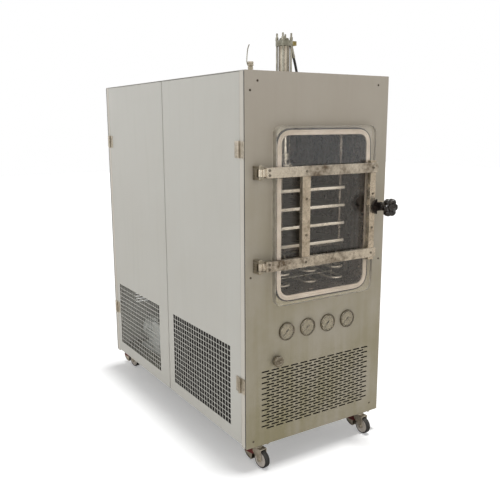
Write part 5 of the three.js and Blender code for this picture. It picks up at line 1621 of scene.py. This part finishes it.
def sawn_edge(tree):
    """The plate's sawn and flamed edge: whitish, with saw lines across it and some grime."""
    where = object_place(tree)
    marks = use(tree, METAL_MARKS, Direction=(60.0, 900.0, 60.0))
    grime = ranged(tree, noise(tree, where, 30.0, 5.0), 0.45, 0.7)
    sawn = tint(tree, marks["Streaks"], colour(196, 188, 172), colour(176, 167, 150))
    return {
        "Base Color": tint(tree, grime, sawn, colour(140, 130, 112)),
        "Roughness": ranged(tree, grime, 0.0, 1.0, 0.3, 0.5),
        "Height": (marks["Streaks"], 0.15, 0.0003),
    }


plate = slab(rectangle(*PLATE, 38, 10), -30, -6.1, 1.6, steps=3)
pane = make_piece("acrylic_plate", plate, clear_acrylic(), "chamber_door",
                  ["door_plate"])
pane.data.materials.append(material("acrylic_edge", sawn_edge, Transmission_Weight=0.35, IOR=1.49))
across = np.empty(3 * len(pane.data.polygons))
pane.data.polygons.foreach_get("normal", across)
sides = (np.abs(across.reshape(-1, 3)[:, 1]) < 0.3).astype(np.int32)
pane.data.polygons.foreach_set("material_index", sides)



def tarnish_and_reflection_surface(bright, dark_tarnish_and_reflection, direction, shift):
    """Hand-polished flat bar: drawn lines, long dark lengths with mottled edges, small dark pits
    and rubbed bright edges. The dark lengths are tarnish and also painted reflection, standing in
    for the dark surroundings mirrored in the steel. The shift picks another place in the noise."""
    def build(tree):
        where = object_place(tree)
        marks = use(tree, METAL_MARKS, Direction=direction)
        elsewhere = node(tree, "VectorMath", {0: where, 1: (shift, shift, shift)}, operation="ADD")
        long_patch = noise(tree, elsewhere.outputs[0], 7.5, 6.0, 0.64)
        mottle = noise(tree, where, 75.0, 5.0, 0.62)
        mixed = math_node(tree, "ADD", long_patch, math_node(tree, "MULTIPLY", mottle, 0.55))
        patch = ranged(tree, mixed, 0.66, 1.0)
        pit = ranged(tree, noise(tree, where, 210.0, 2.0), 0.6, 0.72, 0.0, 0.55)
        edge = use(tree, EDGE_WEAR, Reach=0.0014)["Edge"]
        drawn = math_node(tree, "MULTIPLY", marks["Streaks"], 0.25)
        dulled = tint(tree, math_node(tree, "MAXIMUM", patch, drawn), bright, dark_tarnish_and_reflection)
        pitted = tint(tree, pit, dulled, colour(74, 62, 50))
        return {
            "Base Color": tint(tree, edge, pitted, colour(226, 218, 200)),
            "Roughness": ranged(tree, patch, 0.0, 1.0, 0.22, 0.46),
            "Height": (math_node(tree, "ADD", marks["Streaks"], mottle), 0.12, 0.0002),
        }
    return build


# Painted reflection: the bars' dark lengths stand partly for dark surroundings seen in the polished
# steel, partly for tarnish.
BAR_STEEL = material("bar_tarnish_and_reflection", tarnish_and_reflection_surface(
    colour(230, 219, 200), colour(100, 86, 70), (9.0, 420.0, 420.0), 23.0), Metallic=0.85)
UPRIGHT_STEEL = material("upright_tarnish_and_reflection", tarnish_and_reflection_surface(
    colour(222, 208, 186), colour(140, 125, 104), (420.0, 420.0, 9.0), 23.0), Metallic=0.8)

bars, eyes = [], []
for z in BAR_LEVELS:
    bars.append(slab(rectangle(62, 612, z - BAR_TALL / 2, z + BAR_TALL / 2, 5, 4), BAR_FRONT,
                     BAR_BACK, 1.6))
    neck = eased([[-39, 45], [-30.5, 45], [-30.5, 64], [-44, 64], [-39, 56]], 1, 3, True)
    eyes.append(slab(neck[:, ::-1], z - 14, z + 14, 0.8, "xy"))
    eyes.append(turned(eased([[4.4, z - 14], [8, z - 14], [8, z + 14], [4.4, z + 14]], 0.9,
                             closed=True), PIN, "z", 32))
make_piece("cross_bars", joined(*bars, *eyes), BAR_STEEL, "chamber_door",
           ["door_frame"])
low_edge, high_edge = BAR_LEVELS[0] + BAR_TALL / 2 + 0.1, BAR_LEVELS[1] - BAR_TALL / 2 - 0.1
uprights = [slab(rectangle(227, 265, low_edge, high_edge, 1, 2), BAR_FRONT + 0.4, BAR_BACK, 1.4),
            slab(rectangle(571, 600, low_edge, high_edge, 1, 2), BAR_FRONT + 0.4, BAR_BACK, 1.4)]
for z, sign in zip(BAR_LEVELS, (-1, 1)):
    ends = sorted((z + sign * (BAR_TALL / 2 + 0.1), z + sign * 29.4))
    uprights.append(slab(rectangle(571, 600, *ends, 2, 2), BAR_FRONT + 0.4, BAR_BACK, 1.4))
make_piece("uprights", joined(*uprights), UPRIGHT_STEEL, "chamber_door")
ear = punched(rectangle(599, 642, LATCH_Z - 20, LATCH_Z + 20, 9, 5),
              [circle(8.4, (LATCH_X, LATCH_Z), 40)], -50.3, -38.3, 1.0)
make_piece("latch_ear", ear, UPRIGHT_STEEL, "chamber_door")
bar_screws = []
for z in BAR_LEVELS:
    for x, dz in ((76, 9), (76, -9), (246, 0), (585, 0)):
        bar_screws.append(cap_screw((x, z + dz), 4.6, BAR_FRONT + 0.4, BAR_FRONT - 1.8, "y"))
for x in (246, 585.5):
    for z in (850, 990):
        bar_screws.append(cap_screw((x, z), 4.6, BAR_FRONT + 0.8, BAR_FRONT - 1.4, "y"))
make_piece("bar_screws", joined(*bar_screws), STUD_METAL, "chamber_door")
spacers = []
for x, z in ((150, 1095.5), (150, 744.5), (246, 1095.5), (246, 744.5), (585, 1095.5), (585, 744.5)):
    spacers.append(turned(eased([[0, -30.4], [7, -30.4], [7, -30.02], [0, -30.02]], 0.1), (x, z),
                          "y", 24))
make_piece("plate_washers", joined(*spacers), RUBBER, "chamber_door")

BLOCK_STEEL = material("hinge_block_steel", metal_surface(
    colour(196, 188, 170), colour(150, 141, 124), colour(96, 87, 72), (30.0, 30.0, 400.0),
    (0.24, 0.45)), Metallic=0.85)
for label, z in zip(("lower", "upper"), BAR_LEVELS):
    outline = eased([[34, -44], [56, -44], [56, -0.3], [34, -0.3]], [3, 3, 1, 1], 4, True)
    back = eased([[34, -22], [56, -22], [56, -0.3], [34, -0.3]], [0.6, 0.6, 1, 1], 2, True)
    parts = [slab(outline, z + 14.6, z + 26, 0.8, "xy"), slab(outline, z - 26, z - 14.6, 0.8, "xy"),
             slab(back, z - 15, z + 15, 0.4, "xy"),
             turned(eased([[0, z - 29], [4, z - 29], [4, z + 27.6], [5.2, z + 27.6], [5.2, z + 29],
                           [0, z + 29]], 0.5), PIN, "z", 24)]
    make_piece(f"hinge_block_{label}", joined(*parts), BLOCK_STEEL, "cabinet",
               [f"door_hinge_{label}"])

# ---------------------------------------------------------------- latch
# A moulded star knob on a captive stud screws into the panel's boss. Under its hub a rounded
# jaw presses on the door's right upright.

GLOSSY = material("glossy_moulding", moulded_surface(
    colour(24, 19, 17), colour(46, 38, 33), (0.18, 0.34), 500.0, 0.06), IOR=1.45, Coat_Weight=0.2,
    Coat_Roughness=0.12)

half, bulge, jaw_edge = 31, 28, 604
jaw_radius = (half ** 2 + bulge ** 2) / (2 * bulge)
sweep = math.asin(half / jaw_radius)
angle = np.linspace(math.pi - sweep, math.pi + sweep, 25)
arc = np.column_stack([jaw_edge - bulge + jaw_radius + jaw_radius * np.cos(angle),
                       LATCH_Z + jaw_radius * np.sin(angle)])
angle = np.linspace(-math.pi / 2, math.pi / 2, 17)
neck = np.column_stack([LATCH_X + 18 * np.cos(angle), LATCH_Z + 18 * np.sin(angle)])
jaw_outline = np.vstack([arc, [[jaw_edge, LATCH_Z - 18]], neck, [[jaw_edge, LATCH_Z + 18]]])
jaw = punched(jaw_outline, [circle(8.4, (LATCH_X, LATCH_Z), 40)], -60.5, -50.6, 1.6)
jaw_rib = slab(eased([[583, LATCH_Z - 20], [587, LATCH_Z - 22], [587, LATCH_Z + 22],
                      [583, LATCH_Z + 20]], 1.5, 3, True), -60.59, -59.5, 0.4)
make_piece("latch_jaw", joined(jaw, jaw_rib), GLOSSY, "latch_clamp",
           ["latch_clamp"])

LOBES = 6


def lobed(radius, depth, steps=96):
    """The knob's outline: the radius less the depth where a cosine of six times the angle is
    lowest, its valleys narrowed by a power so that they read as notches."""
    angle = np.linspace(0, 2 * math.pi, steps, endpoint=False)
    wave = 0.5 - 0.5 * np.cos(LOBES * angle)
    reach = radius - depth * wave ** 3
    return np.column_stack([LATCH_X + reach * np.cos(angle), LATCH_Z + reach * np.sin(angle)])


head = [(18, 0, -97.2), (30, 3.2, -97.2), (34.6, 6, -97.8), (37, 7.6, -99.8), (37.5, 8, -103),
        (37.5, 8, -113),
        (36.4, 7.8, -117), (33.4, 7, -120), (28, 4.2, -121), (22, 1.6, -119.4), (18, 0.4, -117.2),
        (13, 0, -117)]
star = skin(np.array([crossed(lobed(r, d), y, "xz") for r, d, y in head]))
boss_ring = turned(eased([[14, -116], [14, -119.6], [12, -120.6], [9, -120.6], [8, -118.8],
                          [0, -118.6], [0, -116]], 0.7), (LATCH_X, LATCH_Z), "y", 48)
hub = turned(eased([[8, -61], [15.4, -61], [16, -62], [16, -68], [18, -69.6], [18, -76],
                    [16.4, -77], [16.4, -79],
                    [18, -80], [18, -90], [16, -92], [16, -98], [8, -98]], 0.8, closed=True),
                    (LATCH_X, LATCH_Z), "y", 48)
ribs = []
for count in range(LOBES):
    rib = slab(eased([[15, -1.3], [33.6, -1.6], [33.6, 1.6], [15, 1.3]], 0.9, 2, True), -120.8,
               -117, 0.5)
    ribs.append(moved(spun(rib, 60 * count, (0, 0), "y"), (LATCH_X, 0, LATCH_Z)))
make_piece("knob_moulding", joined(star, boss_ring, hub, *ribs), GLOSSY, "star_knob",
           ["star_knob"])
thread = np.arange(-58, -8, 2.0)
stud = [turned(eased([[0, -62], [6.7, -62], [6.7, -7.4], [5.6, -6], [0, -6]], 0.6),
               (LATCH_X, LATCH_Z), "y", 32),
        repeated(turned(eased([[6.4, -0.85], [7.4, 0], [6.4, 0.85]], 0.12, closed=True),
                        (LATCH_X, LATCH_Z), "y", 24),
                 np.column_stack([thread * 0, thread, thread * 0]))]
make_piece("knob_stud", joined(*stud), STEEL, "star_knob")

# ---------------------------------------------------------------- gauges
# Four round panel gauges: a turned case with a dark bezel, a beige dial printed with a scale
# of thirty divisions and plain numbers, a thin glass, and a black pointer.

BEZEL = material("bezel_metal", metal_surface(
    colour(156, 148, 132), colour(122, 115, 100), colour(84, 77, 64), (260.0, 260.0, 260.0),
    (0.14, 0.34)), Metallic=0.9)
DIAL_FACE = material("dial_enamel",
                     moulded_surface(colour(144, 135, 116), colour(130, 121, 103), (0.4, 0.55),
                                     500.0), IOR=1.46)
DIAL_PRINT = material("dial_print",
                      moulded_surface(colour(70, 62, 50), colour(92, 84, 70), (0.45, 0.6)),
                      IOR=1.46)
POINTER = material("pointer_enamel", moulded_surface(colour(44, 40, 35), colour(70, 64, 56)),
                   IOR=1.46)


def gauge_glass():
    """Thin clear glass over the dial, which lets a lamp's light straight through."""
    new = bpy.data.materials.new("gauge_glass")
    new.use_nodes = True
    tree = new.node_tree
    shader = tree.nodes["Principled BSDF"]
    shader.inputs["Transmission Weight"].default_value = 1.0
    shader.inputs["IOR"].default_value = 1.45
    smear = noise(tree, object_place(tree), 40.0, 4.0)
    tree.links.new(ranged(tree, smear, 0.4, 0.8, 0.01, 0.08), shader.inputs["Roughness"])
    tree.links.new(tint(tree, smear, colour(252, 252, 250), colour(244, 243, 238)),
                   shader.inputs["Base Color"])
    clear = node(tree, "BsdfTransparent", {"Color": (0.97, 0.97, 0.96, 1.0)})
    shadow = node(tree, "LightPath").outputs["Is Shadow Ray"]
    mix = node(tree, "MixShader", {0: shadow, 1: shader.outputs[0], 2: clear.outputs[0]})
    tree.links.new(mix.outputs[0], tree.nodes["Material Output"].inputs["Surface"])
    return new


GAUGE_GLASS = gauge_glass()


def number_mesh(text, size, place):
    """A plain number as flat mesh faces 0.15 mm thick, centred at a place on the dial."""
    data = bpy.data.curves.new("number", "FONT")
    data.body, data.size = text, size
    data.align_x, data.align_y = "CENTER", "CENTER"
    data.extrude = 0.07
    flat = bpy.data.objects.new("number", data)
    bpy.context.collection.objects.link(flat)
    mesh = bpy.data.meshes.new_from_object(flat)
    co = np.empty(3 * len(mesh.vertices))
    mesh.vertices.foreach_get("co", co)
    co = co.reshape(-1, 3)
    faces = [list(polygon.vertices) for polygon in mesh.polygons]
    bpy.data.objects.remove(flat)
    bpy.data.curves.remove(data)
    bpy.data.meshes.remove(mesh)
    return np.column_stack([place[0] + co[:, 0], -3.1 - co[:, 2], place[1] + co[:, 1]]), faces


GAUGE_START, GAUGE_SPAN, DIVISIONS = 225, 270, 30


def dial_marks():
    """Printed strokes at equal steps from the lower left round to the lower right, a longer
    one at every fifth, with the numbers 0 to 6 inside the long ones and a thin ring outside."""
    parts = []
    for step in range(DIVISIONS + 1):
        bearing = math.radians(GAUGE_START - GAUGE_SPAN * step / DIVISIONS)
        inner, width = (24.2, 0.55) if step % 5 == 0 else (26.6, 0.28)
        stroke = slab(rectangle(inner, 29.4, -width, width), -3.14, -2.9, 0.05)
        points, faces = stroke
        c, s = math.cos(bearing), math.sin(bearing)
        parts.append((np.column_stack([points[:, 0] * c - points[:, 2] * s, points[:, 1],
                                       points[:, 0] * s + points[:, 2] * c]), faces))
        if step % 5 == 0:
            parts.append(number_mesh(str(step // 5), 6.2, (19.6 * c, 19.6 * s)))
    rim = [[29.3, -3.14], [29.8, -3.14], [29.8, -2.95], [29.3, -2.95]]
    parts.append(turned(rim, (0, 0), "y", 64))
    return joined(*parts)


case_profile = eased([
    [0, 47.8], [6, 47.8], [6, 34], [32.4, 34], [32.4, 1], [32.4, -0.4], [37.4, -0.4], [37.4, -5.4],
    [36.6, -7.2], [35.2, -7.9], [33.2, -7.5], [32.2, -6.2], [32.0, -2.6], [0, -2.6]], 0.6)
marks = dial_marks()
pointer_outline = np.array([[-1.0, 0], [-2.2, -9], [0, -11], [2.2, -9], [1.0, 0], [0.35, 25.5],
                            [0, 26.5], [-0.35, 25.5]], dtype=float)
pointer_hub = eased([[0, -5.6], [2.6, -5.6], [3, -5.2], [3, -3.4], [0, -3.4]], 0.3)
pointer = joined(slab(pointer_outline, -4.9, -4.2, 0.15), turned(pointer_hub, (0, 0), "y", 24))
for number, x in enumerate(GAUGE_X, 1):
    there = (x, 0, GAUGE_Z)
    make_piece(f"gauge_{number}_case", moved(turned(case_profile, (0, 0), "y", 64), there), BEZEL,
               "cabinet", [f"gauge_case_{number}"])
    dial = turned(eased([[0, -2.4], [31.8, -2.4], [31.8, -3.0], [0, -3.0]], 0.1), (0, 0), "y", 64)
    make_piece(f"gauge_{number}_dial", moved(dial, there), DIAL_FACE, "cabinet")
    make_piece(f"gauge_{number}_print", moved(marks, there), DIAL_PRINT, "cabinet")
    glass = turned(eased([[0, -5.9], [32.0, -5.9], [32.0, -6.6], [16, -7.0], [0, -7.1]], 0.2),
                   (0, 0), "y", 64)
    make_piece(f"gauge_{number}_glass", moved(glass, there), GAUGE_GLASS, "cabinet")
    turned_pointer = moved(spun(pointer, -135, (0, 0), "y"), there)
    make_piece(f"gauge_{number}_pointer", turned_pointer, POINTER, f"gauge_needle_{number}",
               [f"gauge_needle_{number}"])

# ---------------------------------------------------------------- valve knob
# A turned metal knob with a knurled rim on the release valve's stem, in a small collar.

profile = eased([[0, 24], [4.4, 24], [4.4, -4], [9, -4], [9, -10], [21, -10], [22.2, -12],
                 [22.2, -23], [20, -25.4], [15, -26], [13, -24], [0, -23.6]], 0.8)
knurl = slab(rectangle(21.6, 22.9, -0.7, 0.7, 0.25), -22.4, -12.6, 0.3)
knob = [turned(profile, (0, 0), "y", 64)] + [spun(knurl, 10 * n, (0, 0), "y") for n in range(36)]
knob.append(slab(rectangle(3, 12, -0.7, 0.7, 0.4), -24.4, -23.4, 0.2))
make_piece("valve_knob_turning", moved(joined(*knob), (KNOB_X, 0, KNOB_Z)), BLOCK_STEEL,
           "valve_knob", ["valve_knob"])
washer = turned(eased([[5.8, -0.2], [13, -0.2], [13, -2.2], [11, -3.4], [5.8, -3.4]], 0.6,
                      closed=True), (KNOB_X, KNOB_Z), "y", 40)
make_piece("valve_collar", washer, ZINC, "cabinet")

# ---------------------------------------------------------------- floor and light
# A plain white studio: a bank of lamps overhead throws the soft shadow under the cabinet, low
# broad banks round it light the sides, and a white floor and sky fill in.


FLOOR_GLOW = 0.25
FLOOR_SIZE = 30


def floor_surface():
    """White floor: matt, with a little of its own light for the camera, so that it reads white
    out of the shadow and pale grey in it, and darker where it is only seen in a reflection."""
    new = bpy.data.materials.new("studio_floor")
    new.use_nodes = True
    tree = new.node_tree
    shader = tree.nodes["Principled BSDF"]
    shader.inputs["Roughness"].default_value = 0.9
    shader.inputs["Specular IOR Level"].default_value = 0.0
    cloud = ranged(tree, noise(tree, object_place(tree), 1.5), 0.3, 0.7)
    painted = tint(tree, cloud, colour(236, 236, 236), colour(238, 238, 238))
    paths = node(tree, "LightPath").outputs
    mirrored = tint(tree, paths["Is Glossy Ray"], painted, colour(190, 184, 176))
    tree.links.new(mirrored, shader.inputs["Base Color"])
    seen = math_node(tree, "MAXIMUM", paths["Is Camera Ray"], paths["Is Transmission Ray"])
    shader.inputs["Emission Color"].default_value = (1, 1, 1, 1)
    glow = math_node(tree, "MULTIPLY", seen, FLOOR_GLOW)
    tree.links.new(glow, shader.inputs["Emission Strength"])
    return new


floor_mesh = bpy.data.meshes.new("floor")
edge = FLOOR_SIZE / 2
floor_mesh.from_pydata(
    [(-edge, -edge, 0), (edge, -edge, 0), (edge, edge, 0), (-edge, edge, 0)], [], [(0, 1, 2, 3)])
floor_mesh.materials.append(floor_surface())
floor = bpy.data.objects.new("floor", floor_mesh)
bpy.context.collection.objects.link(floor)

SKY_LIGHT, SKY_GLOSS = 0.25, 0.6
world = bpy.data.worlds.new("studio")
bpy.context.scene.world = world
world.use_nodes = True
tree = world.node_tree
sky = tree.nodes["Background"]
paths = node(tree, "LightPath").outputs
seen = math_node(tree, "MAXIMUM", paths["Is Camera Ray"], paths["Is Transmission Ray"])
level = math_node(tree, "ADD", math_node(tree, "MULTIPLY", seen, 1 - SKY_LIGHT), SKY_LIGHT)
glossy = math_node(tree, "MULTIPLY", paths["Is Glossy Ray"], SKY_GLOSS - SKY_LIGHT)
sky.inputs["Color"].default_value = (1, 1, 1, 1)
tree.links.new(math_node(tree, "ADD", level, glossy), sky.inputs["Strength"])


def lamp_bank(name, towards, breadth, level):
    """A distant bank of lamps in a direction, so many degrees across. On white paper facing it
    a level of 1 reads as full white, so the lamp's strength is the level times pi."""
    data = bpy.data.lights.new(name, "SUN")
    data.energy = level * math.pi
    data.angle = math.radians(breadth)
    lamp = bpy.data.objects.new(name, data)
    bpy.context.collection.objects.link(lamp)
    lamp.matrix_world = (-Vector(towards)).to_track_quat("-Z", "Y").to_matrix().to_4x4()


LOW_BANK = 0.21
lamp_bank("overhead", (0.062, -0.026, 1), 6.5, 0.68)
lamp_bank("left_bank", (-1, 0, LOW_BANK), 50, 0.27)
lamp_bank("front_bank", (0, -1, LOW_BANK), 50, 0.28)
lamp_bank("right_bank", (1, 0, LOW_BANK), 50, 0.24)
lamp_bank("back_bank", (0, 1, LOW_BANK), 50, 0.24)

bpy.context.scene.view_settings.view_transform = "Standard"
